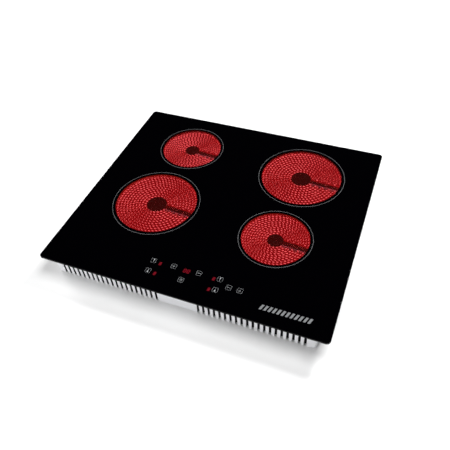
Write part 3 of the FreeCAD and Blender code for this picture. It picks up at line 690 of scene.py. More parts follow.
def draw_glow(tree, place):
    """Resistance wire near 900 degrees: hottest at each wave's crest and along its free top edge."""
    z = tree.axes(place)[2]
    beat = tree.node("ShaderNodeAttribute", output=2, attribute_name="beat")
    crest = tree.ramp_up(tree.maths("COSINE", beat * math.tau), -0.55, 0.45)
    free_edge = tree.ramp_up(z, STRIP_TOP - HOT_EDGE, STRIP_TOP - HOT_EDGE * 0.4)
    drift = tree.noise(place, 60.0, detail=2.0) * 0.7 + 0.65
    heat = crest * free_edge * drift
    colour = tree.mix(heat, (1.0, 0.010, 0.014, 1), (1.0, 0.125, 0.140, 1))
    strength = GLOW_LOW + heat * (GLOW_HIGH - GLOW_LOW)
    return tree.surface({
        "Base Color": (0.16, 0.12, 0.11, 1),
        "Metallic": 0.6,
        "Roughness": 0.55,
        "Emission Color": tree.scaled(colour, strength),
        "Emission Strength": 1.0,
    })


STRIP_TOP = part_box("heater_ribbon_" + ZONES[0])[1].z
hot_ribbon = finish("hot_ribbon", draw_glow)

# %% Lay the four strips
for heater in heaters:
    low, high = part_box("heater_ribbon_" + heater.zone)
    start = line("strip_path", strip_path(heater, (low.z + high.z) / 2))
    sizes = {
        "Wave Length": WAVE_LENGTH,
        "Wave Height": WAVE_HEIGHT,
        "Steps": STEPS_PER_WAVE,
        "Thickness": STRIP_THICKNESS,
        "Height": high.z - low.z,
    }
    strip = grow("glowing_strip_" + heater.zone, strip_recipe, start, sizes, hot_ribbon)
    settle(strip, heater.body, "hot_ribbon", "heater_ribbon_" + heater.zone)

# %% [markdown]
# ## Printing on the glass
# Zone rings, key outlines and marks are fired enamel, a real layer some hundredths of a
# millimetre thick. Making them as thin solids keeps their edges sharp at any distance, which a
# painted texture on such a large plate would not.

# %% Enamel
PRINT_BASE = GLASS_TOP + 0.01 * MM
PRINT_THICKNESS = 0.05 * MM


def draw_enamel(level):
    def draw(tree, place):
        grain = tree.noise(place, 900.0, detail=2.0)
        worn = tree.noise(place, 60.0, detail=3.0)
        shade = tree.ramp_up(grain, 0.3, 0.7) * 0.6 + worn * 0.4
        return tree.surface({
            "Base Color": tree.mix(shade, grey(level * 0.8, -0.03), grey(level * 1.15, -0.03)),
            "Roughness": 0.42 + grain * 0.12,
            "Normal": tree.bump(grain, 0.01 * MM, 0.4),
        })
    return draw


ring_enamel = finish("ring_enamel", draw_enamel(0.085))
key_enamel = finish("key_enamel", draw_enamel(0.20))
mark_enamel = finish("mark_enamel", draw_enamel(0.32))
motif_enamel = finish("motif_enamel", draw_enamel(0.175))

# %% Recipes for printed lines
RING_RADIUS = {True: 95.0 * MM, False: 75.0 * MM}
RING_LINE = 1.1 * MM
RING_STEPS = 192


def print_section(tree, given):
    """The flat rectangle that a printed line has in section."""
    return tree.rectangle(given["Line"], given["Thickness"])


def draw_ring(tree, given):
    """A ring of a given radius around each starting point."""
    sizes = {"Resolution": RING_STEPS, "Radius": given["Radius"]}
    circle = tree.node("GeometryNodeCurvePrimitiveCircle", sizes)
    return tree.copies(given["Start"], tree.flat_sweep(circle, print_section(tree, given)))


def draw_key_outline(tree, given):
    """A square outline with round corners around each starting point."""
    square = tree.rectangle(given["Side"], given["Side"])
    inputs = {"Curve": square, "Radius": given["Corner"], "Count": 6, "Limit Radius": True}
    rounded = tree.node("GeometryNodeFilletCurve", inputs, mode="POLY")
    return tree.copies(given["Start"], tree.flat_sweep(rounded, print_section(tree, given)))


ring_recipe = recipe("printed_ring", ("Radius", "Line", "Thickness"), draw_ring)
key_recipe = recipe("key_outline", ("Side", "Corner", "Line", "Thickness"), draw_key_outline)

# %% Print the zone rings and the key outlines
PRINT_MIDDLE = PRINT_BASE + PRINT_THICKNESS / 2
largest_glow = max(heater.glow for heater in heaters)
for heater in heaters:
    is_large = heater.glow > largest_glow - 1 * MM
    start = dots("ring_centre", [(heater.x, heater.y, PRINT_MIDDLE)])
    sizes = {"Radius": RING_RADIUS[is_large], "Line": RING_LINE, "Thickness": PRINT_THICKNESS}
    ring = grow("zone_ring_" + heater.zone, ring_recipe, start, sizes, ring_enamel)
    settle(ring, "hob", "black_glass")

KEY_SIDE = 10.4 * MM
KEY_CORNER = 1.6 * MM
KEY_LINE = 0.45 * MM
start = dots("key_centres", [(key.x, key.y, PRINT_MIDDLE) for key in keys])
sizes = {"Side": KEY_SIDE, "Corner": KEY_CORNER, "Line": KEY_LINE, "Thickness": PRINT_THICKNESS}
settle(grow("key_outlines", key_recipe, start, sizes, key_enamel), "hob", "black_glass")

# %% [markdown]
# ## Marks inside the keys
# A zone key shows a dot at the side where its heater lies and a stem, and the others show plus,
# minus, a clock, a key and a power sign. All are flat outlines, lifted into thin solids by one
# helper, so a mark is only a short list of rectangles, discs and rings.


# %% Flat shapes made solid
class Sheet:
    """Flat shapes in millimetres, collected and lifted into thin solids in one mesh."""

    def __init__(self, base, thickness):
        self.shape = bmesh.new()
        self.levels = (base, base + thickness)

    def rim(self, centre, points):
        """The same points at the bottom level and at the top level."""
        return [
            [self.shape.verts.new((centre.x + x * MM, centre.y + y * MM, z)) for x, y in points]
            for z in self.levels
        ]

    def outline(self, centre, points, slant=0.0):
        """One flat solid. slant leans it to the right, as a share of its height."""
        low, high = self.rim(centre, [(x + slant * y, y) for x, y in points])
        self.shape.faces.new(high)
        self.shape.faces.new(reversed(low))
        for i, corner in enumerate(low):
            j = (i + 1) % len(low)
            self.shape.faces.new((corner, low[j], high[j], high[i]))

    def bar(self, centre, x0, x1, y0, y1, slant=0.0):
        self.outline(centre, [(x0, y0), (x1, y0), (x1, y1), (x0, y1)], slant)

    def disc(self, centre, x, y, radius, steps=24):
        angles = [math.tau * i / steps for i in range(steps)]
        self.outline(centre, [(x + radius * math.cos(a), y + radius * math.sin(a)) for a in angles])

    def band(self, centre, x, y, radius, width, start=0.0, end=360.0, steps=28):
        """A ring around (x, y), or the part of it from start to end."""
        closed = end - start >= 360
        angles = [math.radians(start + (end - start) * i / steps) for i in range(steps + (not closed))]
        sides = []
        for r in (radius - width / 2, radius + width / 2):
            sides += self.rim(centre, [(x + r * math.cos(a), y + r * math.sin(a)) for a in angles])
        around = [sides[0], sides[1], sides[3], sides[2]]
        for i in range(steps):
            j = (i + 1) % len(angles)
            for one, other in zip(around, around[1:] + around[:1]):
                self.shape.faces.new((one[i], one[j], other[j], other[i]))
        if not closed:
            self.shape.faces.new([side[0] for side in around])
            self.shape.faces.new([side[-1] for side in around])

    def piece(self, name, material):
        """The finished object, with its faces pointing outwards."""
        bmesh.ops.recalc_face_normals(self.shape, faces=self.shape.faces)
        mesh = mesh_from(self.shape, name)
        mesh.materials.append(material)
        print(name, "has", len(mesh.polygons), "faces")
        return add_object(name, mesh)


# %% Draw the nine marks
STROKE = 0.6
FINE_STROKE = 0.4


def upright(y0, y1, x=0.0, width=STROKE):
    """An upright stroke, centred on x."""
    return ("bar", x - width / 2, x + width / 2, y0, y1)


def level_stroke(x0, x1, y=0.0, width=STROKE):
    """A level stroke, centred on y."""
    return ("bar", x0, x1, y - width / 2, y + width / 2)


HALF = FINE_STROKE / 2
MARKS = {
    "rear_zone": [("disc", 0, 2.6, 1.5), upright(-3.4, 1.0)],
    "front_zone": [("disc", 0, -2.6, 1.5), upright(-1.0, 3.4)],
    "plus": [level_stroke(-2.6, 2.6), upright(STROKE / 2 + 0.05, 2.6), upright(-2.6, -STROKE / 2 - 0.05)],
    "clock": [("band", 0, 0, 2.3, FINE_STROKE), upright(0.0, 1.5, width=FINE_STROKE),
              ("bar", HALF + 0.05, 1.3, 0.0, FINE_STROKE)],
    "minus": [level_stroke(-3.6, 3.6)],
    "lock": [("band", -2.6, 0, 1.0, FINE_STROKE), level_stroke(-1.3, 3.6, width=FINE_STROKE),
             ("bar", 2.6, 3.1, -1.2, -HALF - 0.05)],
    "power": [("band", 0, -0.2, 1.8, FINE_STROKE, 125, 415), upright(0.2, 2.4, width=FINE_STROKE)],
}
SIGNS = ["rear_zone", "front_zone", "plus", "clock", "minus", "rear_zone", "front_zone", "lock", "power"]
sheet = Sheet(PRINT_BASE, PRINT_THICKNESS)
for sign, key in zip(SIGNS, keys):
    for shape, *sizes in MARKS[sign]:
        getattr(sheet, shape)(key, *sizes)
settle(sheet.piece("key_marks", mark_enamel), "hob", "black_glass")

# %% [markdown]
# ## A plain corner motif
# Hobs carry a printed mark at the front right. This one has a plain row of leaning stripes, which
# says nothing and belongs to nobody.

# %% Print the stripes
MOTIF_FROM_RIGHT = 87.3 * MM
MOTIF_FROM_FRONT = 32.4 * MM
STRIPES = 12
STRIPE_PITCH = 8.1
STRIPE_WIDTH = 4.6
STRIPE_HEIGHT = 11.0
STRIPE_SLANT = 0.35

motif = Vector((glass_high.x - MOTIF_FROM_RIGHT, glass_low.y + MOTIF_FROM_FRONT, 0))
sheet = Sheet(PRINT_BASE, PRINT_THICKNESS)
for i in range(STRIPES):
    x = (i - (STRIPES - 1) / 2) * STRIPE_PITCH
    left, right = x - STRIPE_WIDTH / 2, x + STRIPE_WIDTH / 2
    sheet.bar(motif, left, right, -STRIPE_HEIGHT / 2, STRIPE_HEIGHT / 2, STRIPE_SLANT)
settle(sheet.piece("corner_motif", motif_enamel), "hob", "black_glass")

# %% [markdown]
# ## Digits under the glass
# Seven-segment displays stand just below the glass. Each digit is drawn from its seven pointed
# segments, and the digit to show is a string of segment letters. The lit segments are separate
# glowing solids on the display's dark face.

# %% Seven-segment digits
SEGMENT = 0.95
DIGIT_SLANT = 0.12
LIT = {"0": "abcdef", "8": "abcdefg"}
ZONE_DIGIT = (3.4, 6.4)
TIMER_DIGIT = (4.2, 8.0)
TIMER_APART = 7.2
DISPLAY_HALO = 3.2 * MM


def segment(along, across, horizontal, length):
    """The six corners of one segment, with a point at each end."""
    half, point = length / 2, SEGMENT / 2
    shape = [(-half, 0), (-half + point, point), (half - point, point),
             (half, 0), (half - point, -point), (-half + point, -point)]
    if not horizontal:
        shape = [(-y, x) for x, y in shape]
    return [(x + along, y + across) for x, y in shape]


def draw_digit(sheet, centre, x, figure, width, height):
    """One digit, centred x millimetres to the right of a place."""
    half_w, half_h, gap = width / 2, height / 2, 0.12
    places = {
        "a": (0, half_h, True), "g": (0, 0, True), "d": (0, -half_h, True),
        "f": (-half_w, half_h / 2, False), "b": (half_w, half_h / 2, False),
        "e": (-half_w, -half_h / 2, False), "c": (half_w, -half_h / 2, False),
    }
    for letter in LIT[figure]:
        along, across, horizontal = places[letter]
        length = (width if horizontal else half_h) - gap
        points = [(px + x, py) for px, py in segment(along, across, horizontal, length)]
        sheet.outline(centre, points, DIGIT_SLANT)


def draw_lit(tree, place):
    uneven = tree.noise(place, 700.0, detail=1.0)
    return tree.surface({
        "Base Color": (0.3, 0.02, 0.02, 1),
        "Roughness": 0.4,
        "Emission Color": tree.mix(uneven, (1.0, 0.02, 0.05, 1), (1.0, 0.06, 0.10, 1)),
        "Emission Strength": 7.5,
    })


def draw_display(tree, place):
    """Tinted resin with a painted dull red glow around the segments set in it."""
    x, y, z = tree.axes(place)
    near = [panel(tree, x, y, box, DISPLAY_HALO) for box in shrunk]
    glow = tree.largest(*near)
    return tree.surface({
        "Base Color": (0.02, 0.004, 0.006, 1),
        "Roughness": 0.25,
        "Emission Color": tree.mix(glow, (0, 0, 0, 1), (1.0, 0.0, 0.05, 1)),
        "Emission Strength": 2.2,
    })


FACE_EDGE = Vector((3.6, 4.6, 0)) * MM
shrunk = [(box[0] + FACE_EDGE, box[1] - FACE_EDGE) for box in digits + [timer]]
segment_glow = finish("segment_glow", draw_lit)
display_resin = finish("display_resin", draw_display)
wear("zone_displays", display_resin)
wear("timer_display", display_resin)

DIGIT_RISE = 0.02 * MM
DIGIT_THICKNESS = 0.08 * MM
sheet = Sheet(timer[1].z + DIGIT_RISE, DIGIT_THICKNESS)
for box in digits:
    draw_digit(sheet, middle(box), 0, "8", *ZONE_DIGIT)
settle(sheet.piece("zone_digits", segment_glow), "hob", "display")
sheet = Sheet(timer[1].z + DIGIT_RISE, DIGIT_THICKNESS)
for x in (-TIMER_APART / 2, TIMER_APART / 2):
    draw_digit(sheet, middle(timer), x, "0", *TIMER_DIGIT)
settle(sheet.piece("timer_digits", segment_glow), "hob", "display")

# %% [markdown]
# ## Insulation that catches the glow
# The dish and its ring wall are pressed from pale powder, and the ribbons light them deep red.
# Sampling that light through dark glass would need very many rays, so the finish carries its own
# faint glow: strong between the ribbons, weak on the hub and along the limiter's channel.

# %% Glowing insulation
BETWEEN_RIBBONS = 4.4
WALL_SHARE = 0.55
ON_THE_HUB = 0.85
CHANNEL_HALF = 8.0 * MM
CHANNEL_BLUR = 1.5 * MM


def lit_ring(tree, x, y, heater):
    """1 on a heater's floor and inner wall, and 0 on its hub and along its limiter."""
    turn = math.radians(LIMITER_ANGLE)
    over_x = x - heater.x
    over_y = y - heater.y
    along = over_x * math.cos(turn) + over_y * math.sin(turn)
    across = abs(over_y * math.cos(turn) - over_x * math.sin(turn))
    away = tree.distance(over_x, over_y)
    past_hub = tree.ramp_up(away, heater.hub, heater.hub + 2 * MM)
    inside = 1 - tree.ramp_up(away, heater.glow + 0.2 * MM, heater.glow + 0.8 * MM)
    beside = 1 - tree.ramp_up(across, CHANNEL_HALF, CHANNEL_HALF + CHANNEL_BLUR)
    channel = beside * tree.ramp_up(along, 0.0, 2 * MM)
    return past_hub * inside * (1 - channel)


def draw_insulation(tree, place):
    x, y, z = tree.axes(place)
    fibres = tree.noise(tree.stretched(place, 1.0, 3.0, 1.0), 420.0, detail=4.0)
    lumps = tree.noise(place, 70.0, detail=3.0)
    pits = tree.ramp_up(tree.cells(place, 500.0), 0.1, 0.35)
    lit = tree.largest(*[lit_ring(tree, x, y, heater) for heater in heaters])
    on_wall = tree.ramp_up(z, heaters[0].floor + 1 * MM, heaters[0].floor + 3 * MM)
    lit_share = lit * (1 - on_wall * (1 - WALL_SHARE))
    level = ON_THE_HUB + lit_share * (lumps * 0.5 + 0.75) * (BETWEEN_RIBBONS - ON_THE_HUB)
    tint = tree.mix(lit, (1.0, 0.030, 0.010, 1), (1.0, 0.012, 0.016, 1))
    hollow = tree.ramp_up(z, heaters[0].floor - 3 * MM, heaters[0].floor - 1 * MM)
    blend = lumps * 0.6 + fibres * 0.4
    return tree.surface({
        "Base Color": tree.mix(blend, (0.62, 0.56, 0.48, 1), (0.80, 0.76, 0.69, 1)),
        "Roughness": 0.92,
        "Normal": tree.bump(fibres * 0.6 + pits * 0.4, 0.25 * MM, 0.5),
        "Emission Color": tree.scaled(tint, level * hollow),
        "Emission Strength": 1.0,
    })


insulation = finish("pressed_insulation", draw_insulation)
for heater in heaters:
    wear("heater_base_" + heater.zone, insulation)
    wear("heater_wall_" + heater.zone, insulation)

# %% [markdown]
# ## Quartz, steatite and brass
# The limiter rod is a frosted quartz tube with a painted dull red glow and a painted pink highlight on
# its lower flank.
# The terminals and the limiter's switch are fired steatite, cream with fine specks, and the mains
# terminals are turned brass with a mark from the tool all the way round.


# %% Heater fittings
def draw_quartz(tree, place):
    frost = tree.noise(place, 900.0, detail=3.0)
    facing = tree.axes(tree.node("ShaderNodeTexCoord", output=1))[1]
    # Painted light: the whole rod glows dull red for the ribbons' light, and its lower flank, found by
    # the normal, carries a painted pink highlight.
    painted_flank_highlight = 1 - tree.ramp_up(facing, -0.9, -0.45)
    return tree.surface({
        "Base Color": tree.mix(frost, (0.70, 0.68, 0.64, 1), (0.84, 0.82, 0.78, 1)),
        "Roughness": 0.35 + frost * 0.2,
        "Emission Color": tree.mix(painted_flank_highlight, (0.9, 0.03, 0.02, 1), (3.6, 0.6, 0.8, 1)),
        "Emission Strength": 1.0,
    })


def draw_steatite(tree, place):
    speck = tree.ramp_up(tree.noise(place, 1400.0, detail=2.0), 0.62, 0.75)
    body = tree.noise(place, 120.0, detail=3.0)
    return tree.surface({
        "Base Color": tree.mix(speck * 0.6 + body * 0.3, (0.86, 0.84, 0.77, 1), (0.58, 0.54, 0.46, 1)),
        "Roughness": 0.38 + body * 0.25,
        "Normal": tree.bump(body, 0.05 * MM, 0.4),
    })


def draw_brass(tree, place):
    tool_marks = tree.noise(tree.stretched(place, 1.0, 1.0, 9.0), 700.0, detail=2.0)
    tarnish = tree.noise(place, 160.0, detail=4.0)
    dull = tree.ramp_up(tarnish, 0.35, 0.75)
    return tree.surface({
        "Base Color": tree.mix(dull, (0.80, 0.61, 0.26, 1), (0.52, 0.38, 0.17, 1)),
        "Metallic": 1.0,
        "Roughness": 0.22 + tarnish * 0.25,
        "Normal": tree.bump(tool_marks, 0.02 * MM, 0.5),
    })


quartz = finish("frosted_quartz", draw_quartz)
steatite = finish("steatite", draw_steatite)
for heater in heaters:
    wear("limiter_rod_" + heater.zone, quartz)
    wear("limiter_switch_" + heater.zone, steatite)
    wear("heater_terminal_" + heater.zone, steatite)
wear("mains_terminals", finish("turned_brass", draw_brass))

# %% [markdown]
# ## The casing's powder coat
# The casing is powder coated outside, which leaves a fine orange peel and a few handling smudges.
# Its inside is coloured near black as painted shade, so the vents read as black slots. A mask that
# follows the casing's rounded outline tells the outside from the inside.

# %% Coated steel
COAT_DEPTH = 0.6 * MM
CASING_CORNER = 6.0 * MM
CASING_BEND = 3.0 * MM
casing_low, casing_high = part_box("base_casing")
CASING_HALF_WIDTH = 271.5 * MM


def round_corner(tree, past_x, past_y, radius):
    """How far a point lies outside a shape with a round corner; it is below 0 inside."""
    corner = tree.distance(tree.largest(past_x, 0.0), tree.largest(past_y, 0.0))
    return corner + tree.maths("MINIMUM", tree.largest(past_x, past_y), 0.0) - radius


def draw_casing(tree, place):
    x, y, z = tree.axes(place)
    centre = (casing_low.y + casing_high.y) / 2
    half_depth = (casing_high.y - casing_low.y) / 2
    past_x = abs(x) - (CASING_HALF_WIDTH - CASING_CORNER)
    past_y = abs(y - centre) - (half_depth - CASING_CORNER)
    wall = round_corner(tree, past_x, past_y, CASING_CORNER)
    skin = round_corner(tree, wall + CASING_BEND, (casing_low.z + CASING_BEND) - z, CASING_BEND)
    outside = tree.ramp_up(skin, -COAT_DEPTH - 0.05 * MM, -COAT_DEPTH + 0.05 * MM)
    peel = tree.noise(place, 650.0, detail=2.0)
    smudge = tree.noise(place, 11.0, detail=4.0)
    dust = tree.ramp_up(tree.noise(place, 2200.0, detail=1.0), 0.66, 0.78)
    coat = tree.mix(smudge, (0.64, 0.65, 0.67, 1), (0.72, 0.72, 0.74, 1))
    # Painted shade: the casing's inside gets a near-black colour that stands in for the shade inside it.
    painted_inner_shade = tree.mix(smudge, (0.012, 0.012, 0.014, 1), (0.030, 0.030, 0.032, 1))
    specked = tree.mix(dust * 0.35, coat, (0.45, 0.45, 0.46, 1))
    return tree.surface({
        "Base Color": tree.mix(outside, painted_inner_shade, specked),
        "Roughness": 0.36 + smudge * 0.16 + (1 - outside) * 0.3,
        "Normal": tree.bump(peel, 0.03 * MM, 0.5),
    })


wear("base_casing", finish("casing_paint", draw_casing))

# %% [markdown]
# ## Galvanised sheet, zinc plate and spring steel
# Hot-dip zinc freezes in spangles some millimetres wide, which Voronoi cells draw. The thin
# electroplated zinc on screws and claws has no spangle, only a yellowish film, and spring steel
# keeps straw-coloured patches from its heat treatment.


# %% Bare metals
def draw_galvanised(tree, place):
    spangle = tree.axes(tree.cells(place, 170.0, output=1))[0]
    seam = tree.ramp_up(tree.cells(place, 170.0, feature="DISTANCE_TO_EDGE"), 0.0, 0.06)
    bloom = tree.noise(place, 26.0, detail=4.0)
    blend = spangle * 0.7 + bloom * 0.3
    return tree.surface({
        "Base Color": tree.mix(blend, (0.50, 0.52, 0.55, 1), (0.72, 0.74, 0.76, 1)),
        "Metallic": 0.9,
        "Roughness": 0.30 + spangle * 0.18 + bloom * 0.1,
        "Normal": tree.bump(seam, 0.01 * MM, 0.3),
    })


def draw_zinc(tree, place):
    film = tree.noise(place, 90.0, detail=3.0)
    grain = tree.noise(place, 1600.0, detail=2.0)
    return tree.surface({
        "Base Color": tree.mix(film, (0.56, 0.58, 0.62, 1), (0.68, 0.66, 0.58, 1)),
        "Metallic": 1.0,
        "Roughness": 0.26 + grain * 0.2,
        "Normal": tree.bump(grain, 0.01 * MM, 0.4),
    })


def draw_spring_steel(tree, place):
    rolled = tree.noise(tree.stretched(place, 12.0, 1.0, 12.0), 120.0, detail=3.0)
    straw = tree.ramp_up(tree.noise(place, 40.0, detail=2.0), 0.45, 0.75)
    return tree.surface({
        "Base Color": tree.mix(straw * 0.5, (0.50, 0.50, 0.53, 1), (0.48, 0.38, 0.24, 1)),
        "Metallic": 1.0,
        "Roughness": 0.24 + rolled * 0.22,
        "Normal": tree.bump(rolled, 0.01 * MM, 0.4),
    })


galvanised = finish("galvanised_sheet", draw_galvanised)
zinc = finish("zinc_plate", draw_zinc)
spring_steel = finish("spring_steel", draw_spring_steel)
pans = ["heater_pan_" + zone for zone in ZONES]
for name in ["glass_carrier", "heat_shield", "heater_rail_left", "heater_rail_right"] + pans:
    wear(name, galvanised)
clamps = [name for name in nodes if name.startswith("hold_clamp_")]
for name in clamps + ["clamp_bolts"]:
    wear(name, zinc)
for heater in heaters:
    wear("heater_spring_" + heater.zone, spring_steel)
print("dressed", len(pans) + 4, "galvanised and", len(clamps) + 1, "zinc-plated nodes")

# %% [markdown]
# ## Foam, silicone and moulded plastic
# The seal is closed-cell foam, so its bump is small round cells. The bond is smooth silicone. The
# black mouldings have the spark-eroded texture of their steel mould, which scatters light evenly.


# %% Rubber and plastic
def draw_foam(tree, place):
    cells = tree.cells(place, 1100.0)
    batch = tree.noise(place, 30.0, detail=2.0)
    return tree.surface({
        "Base Color": tree.mix(batch, grey(0.006), grey(0.014)),
        "Roughness": 0.95,
        "Specular IOR Level": 0.2,
        "Normal": tree.bump(cells, 0.15 * MM, 0.6),
    })


def draw_silicone(tree, place):
    drag = tree.noise(place, 55.0, detail=3.0)
    return tree.surface({
        "Base Color": tree.mix(drag, grey(0.02), grey(0.035)),
        "Roughness": 0.45 + drag * 0.15,
        "Normal": tree.bump(drag, 0.2 * MM, 0.4),
    })


def draw_moulding(tree, place):
    eroded = tree.noise(place, 1500.0, detail=3.0)
    flow = tree.noise(place, 24.0, detail=2.0)
    return tree.surface({
        "Base Color": tree.mix(flow, grey(0.020, -0.04), grey(0.034, -0.04)),
        "Roughness": 0.48 + eroded * 0.18,
        "Normal": tree.bump(eroded, 0.04 * MM, 0.6),
    })


wear("worktop_seal", finish("seal_foam", draw_foam))
wear("glass_bond", finish("bond_silicone", draw_silicone))
moulding = finish("black_moulding", draw_moulding)
for name in ("board_tray", "cable_clamp", "fan_frame", "fan_rotor", "terminal_box", "terminal_cover"):
    wear(name, moulding)

# %% [markdown]
# ## Circuit boards, relays and ribbon cable
# A board is green lacquer over copper, and the tracks show as paler raised lines. A brick pattern
# turned on its side gives long tracks with steps between them. The flat cable is a row of round
# wires, so a wave across its width raises one ridge for each, and the same wave paints shade into
# the grooves between them.

# %% Electronics
TRACK_STEP = 5.0 * MM
WIRE_STEP = 1.27 * MM


def draw_board(tree, place):
    x, y, z = tree.axes(place)
    bend = tree.noise(place, 22.0, detail=0.0) * (24 * MM)
    lane = tree.maths("PINGPONG", y + bend, TRACK_STEP / 2)
    track = 1 - tree.ramp_up(lane, 0.5 * MM, 0.7 * MM)
    pad_gap = tree.cells(place, 150.0)
    pad = 1 - tree.ramp_up(pad_gap, 0.16, 0.2)
    weave = tree.noise(place, 1200.0, detail=1.0)
    lacquer = tree.mix(track * 0.8, (0.012, 0.085, 0.030, 1), (0.035, 0.17, 0.06, 1))
    return tree.surface({
        "Base Color": tree.mix(pad, lacquer, (0.62, 0.63, 0.65, 1)),
        "Metallic": pad * 0.9,
        "Roughness": 0.26 + weave * 0.1,
        "Normal": tree.bump(tree.largest(track, pad), 0.05 * MM, 0.6),
    })


def draw_relay(tree, place):
    swirl = tree.noise(place, 45.0, detail=3.0)
    fine = tree.noise(place, 1300.0, detail=1.0)
    return tree.surface({
        "Base Color": tree.mix(swirl, (0.03, 0.11, 0.36, 1), (0.05, 0.16, 0.46, 1)),
        "Roughness": 0.22 + fine * 0.1,
        "Normal": tree.bump(fine, 0.01 * MM, 0.4),
    })


def draw_flat_cable(tree, place):
    y = tree.axes(place)[1]
    ridge = tree.maths("SINE", y * (math.tau / WIRE_STEP)) * 0.5 + 0.5
    scuff = tree.noise(place, 300.0, detail=3.0)
    first_wire = tree.ramp_up(y, cable_high.y - 1.4 * WIRE_STEP, cable_high.y - 1.2 * WIRE_STEP)
    # Painted shade: the grooves between the wires are coloured darker and the crests lighter.
    grey_with_painted_groove_shade = tree.mix(ridge * 0.7 + scuff * 0.3, grey(0.36, -0.02), grey(0.58, -0.02))
    return tree.surface({
        "Base Color": tree.mix(first_wire, grey_with_painted_groove_shade, (0.55, 0.05, 0.04, 1)),
        "Roughness": 0.5 + scuff * 0.12,
        "Normal": tree.bump(ridge, 0.3 * MM, 0.7),
    })


cable_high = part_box("flat_cable")[1]
board = finish("circuit_board", draw_board)
wear("touch_board", board)
wear("power_board", board)
wear("relays", finish("relay_case", draw_relay))
wear("flat_cable", finish("flat_cable", draw_flat_cable))

# %% [markdown]
# ## Springs behind the keys
# A touch key feels a finger through the glass with a small coil spring that stands on the board.
# The Spiral primitive with equal start and end radii is a helix, and the recipe puts one on each
# key's place.

# %% Nine touch springs
SPRING_TURNS = 5.0
SPRING_WIRE = 0.55 * MM
STEPS_PER_TURN = 20
WIRE_SIDES = 8
spring_low, spring_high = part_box("touch_springs")


def draw_touch_spring(tree, given):
    """A coil of round wire, standing at each starting point."""
    wire = given["Wire"]
    sizes = {
        "Resolution": STEPS_PER_TURN,
        "Rotations": given["Turns"],
        "Start Radius": given["Radius"] - wire / 2,
        "End Radius": given["Radius"] - wire / 2,
        "Height": given["Height"] - wire,
    }
    coil = tree.node("GeometryNodeCurveSpiral", sizes)
    lift = tree.node("ShaderNodeCombineXYZ", {"Z": wire / 2})
    raised = tree.node("GeometryNodeSetPosition", {"Geometry": coil, "Offset": lift})
    section = {"Resolution": WIRE_SIDES, "Radius": wire / 2}
    round_wire = tree.node("GeometryNodeCurvePrimitiveCircle", section)
    return tree.copies(given["Start"], tree.sweep(raised, round_wire, caps=True))


spring_recipe = recipe("touch_spring", ("Turns", "Wire", "Radius", "Height"), draw_touch_spring)
first_low, first_high = separate_solids("touch_springs")[0]
sizes = {
    "Turns": SPRING_TURNS,
    "Wire": SPRING_WIRE,
    "Radius": (first_high.x - first_low.x) / 2,
    "Height": spring_high.z - spring_low.z,
}
start = dots("spring_feet", [(key.x, key.y, spring_low.z) for key in keys])
coils = grow("touch_springs_coiled", spring_recipe, start, sizes, spring_steel)
settle(coils, "hob", "spring_steel", "touch_springs")

# %% [markdown]
# ## Twenty machine screws
# The CAD screws are plain pegs with a head. One real screw is turned here from its outline: a
# domed pan head and a shank with thread ridges. The recipe stands a copy at every place, and
# tips it along the direction in which the CAD screw points.

# %% Turn one screw
SCREW_SIDES = 24
THREAD_PITCH = 0.7
THREAD_ROOT = 1.62
THREAD_CREST = 1.95
PLAIN_END = 0.65
CAD_HEAD_HEIGHT = 2.4
HEAD_OUTLINE = [
    (0.0, 2.30), (0.9, 2.30), (1.0, 2.28), (2.2, 2.12), (3.1, 1.75),
    (3.7, 1.20), (3.95, 0.6), (3.95, 0.08), (3.85, 0.0), (1.75, 0.0),
]
RECESS_DEPTH = 1.3
RECESS_WIDTH = 0.75
RECESS_REACH = 2.1
RECESS_TAPER = 0.6


def screw_outline(length):
    """Radius and height along the screw in millimetres, from the head's middle to the tip."""
    points = list(HEAD_OUTLINE)
    depth = 0.4
    while depth + THREAD_PITCH < length - PLAIN_END:
        points += [(THREAD_ROOT, -depth), (THREAD_CREST, -depth - THREAD_PITCH * 0.45)]
        depth += THREAD_PITCH
    tip = 0.05 - length
    return points + [(THREAD_ROOT, -depth), (1.4, 0.4 - length), (1.1, tip), (0.0, tip)]


def turn_screw(length):
    """A closed solid of revolution with its head up and the head's underside at height 0."""
    shape = bmesh.new()
    rows = []
    for radius, height in screw_outline(length):
        if radius == 0:
            rows.append([shape.verts.new((0, 0, height * MM))])
            continue
        turns = [math.tau * i / SCREW_SIDES for i in range(SCREW_SIDES)]
        circle = [(radius * math.cos(t), radius * math.sin(t), height) for t in turns]
        rows.append([shape.verts.new([side * MM for side in place]) for place in circle])
    for upper, lower in zip(rows, rows[1:]):
        for i in range(SCREW_SIDES):
            j = (i + 1) % SCREW_SIDES
            if len(upper) == 1:
                shape.faces.new((upper[0], lower[i], lower[j]))
            elif len(lower) == 1:
                shape.faces.new((upper[i], lower[0], upper[j]))
            else:
                shape.faces.new((upper[i], lower[i], lower[j], upper[j]))
    bmesh.ops.recalc_face_normals(shape, faces=shape.faces)
    return mesh_from(shape, "turned_screw")


def block(name, half_x, half_y, low, high):
    """A plain box in millimetres, to cut with."""
    shape = bmesh.new()
    bmesh.ops.create_cube(shape, size=2.0)
    for vertex in shape.verts:
        taper = 1.0 if vertex.co.z > 0 else RECESS_TAPER
        vertex.co.x *= half_x * taper * MM
        vertex.co.y *= half_y * taper * MM
        vertex.co.z = (high if vertex.co.z > 0 else low) * MM
    return add_object(name, mesh_from(shape, name))


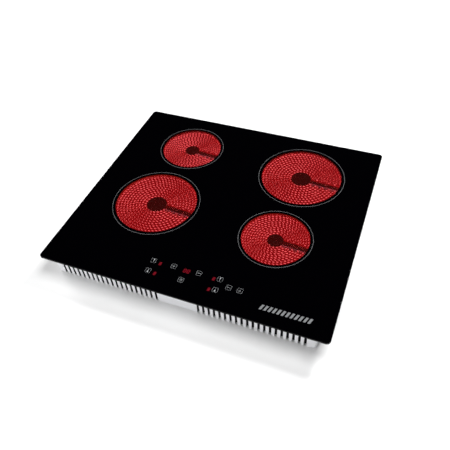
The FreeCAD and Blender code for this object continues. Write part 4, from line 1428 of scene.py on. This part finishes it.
def cut_cross(mesh):
    """The cross recess: two tapered blocks are taken out of the head."""
    blank = add_object("screw_blank", mesh)
    low, high = HEAD_OUTLINE[0][1] - RECESS_DEPTH, HEAD_OUTLINE[0][1] + 1
    cutters = [
        block("cut_along", RECESS_REACH, RECESS_WIDTH / 2, low, high),
        block("cut_across", RECESS_WIDTH / 2, RECESS_REACH, low, high),
    ]
    for cutter in cutters:
        modifier = blank.modifiers.new(cutter.name, "BOOLEAN")
        modifier.object = cutter
        modifier.operation = "DIFFERENCE"
    finished = applied(blank)
    for spare in cutters + [blank]:
        bpy.data.objects.remove(spare)
    return finished


# %% Where the screws are, and which way they point
RIM_SHARE = 0.8


def screw_axis(points):
    """The point under a CAD screw's head, and the direction from there to the head's top."""
    low, high = extent(points)
    size = high - low
    along = max(range(3), key=lambda i: size[i])
    centre = (low + high) / 2
    others = [i for i in range(3) if i != along]
    head_radius = size[others[0]] / 2
    across = {tuple(p): math.hypot(*[p[i] - centre[i] for i in others]) for p in points}
    rim = [p for p in points if across[tuple(p)] > head_radius * RIM_SHARE]
    rim_low, rim_high = min(p[along] for p in rim), max(p[along] for p in rim)
    up_side = 1 if (rim_low + rim_high) / 2 > centre[along] else -1
    under = centre.copy()
    under[along] = rim_low if up_side > 0 else rim_high
    direction = Vector((0, 0, 0))
    direction[along] = up_side
    return under, direction


def draw_screws(tree, given):
    """A copy of the turned screw at each point, tipped to the point's own direction."""
    part = tree.node("GeometryNodeObjectInfo", {"Object": given["Part"]}, output=4)
    named = {"Name": "heading"}
    heading = tree.node("GeometryNodeInputNamedAttribute", named, data_type="FLOAT_VECTOR")
    tilt = tree.node("FunctionNodeAlignRotationToVector", {"Vector": heading}, axis="Z")
    return tree.copies(given["Start"], part, Rotation=tilt)


screw_axes = [screw_axis(points) for points in solid_points("m4_screws")]
first_low, first_high = extent(solid_points("m4_screws")[0])
whole_length = max(first_high - first_low) / MM
shank_length = round(whole_length - CAD_HEAD_HEIGHT, 3)
part = add_object("one_screw", cut_cross(turn_screw(shank_length)))
start = dots("screw_places", [under for under, direction in screw_axes])
heading = start.attributes.new("heading", "FLOAT_VECTOR", "POINT")
for i, (under, direction) in enumerate(screw_axes):
    heading.data[i].vector = direction
screw_recipe = recipe("standing_screws", {"Part": "NodeSocketObject"}, draw_screws)
screws = grow("machine_screws", screw_recipe, start, {"Part": part}, zinc)
bpy.data.objects.remove(part)
settle(screws, "hob", "zinc", "m4_screws")
print(len(screw_axes), "screws, shank", round(shank_length, 2), "mm")

# %% [markdown]
# ## Sizes at the end
# The size of the CAD model and the size of what is seen are gathered side by side, and the visual
# size is printed, so that a piece which grew past the part shows at once.

# %% Gather the sizes and print the visual one
seen_low, seen_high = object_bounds()
sizes = {"cad": [list(cad_low), list(cad_high)], "visual": [list(seen_low), list(seen_high)]}
print("visual model, millimetres:", [round(side / MM, 1) for side in seen_high - seen_low])
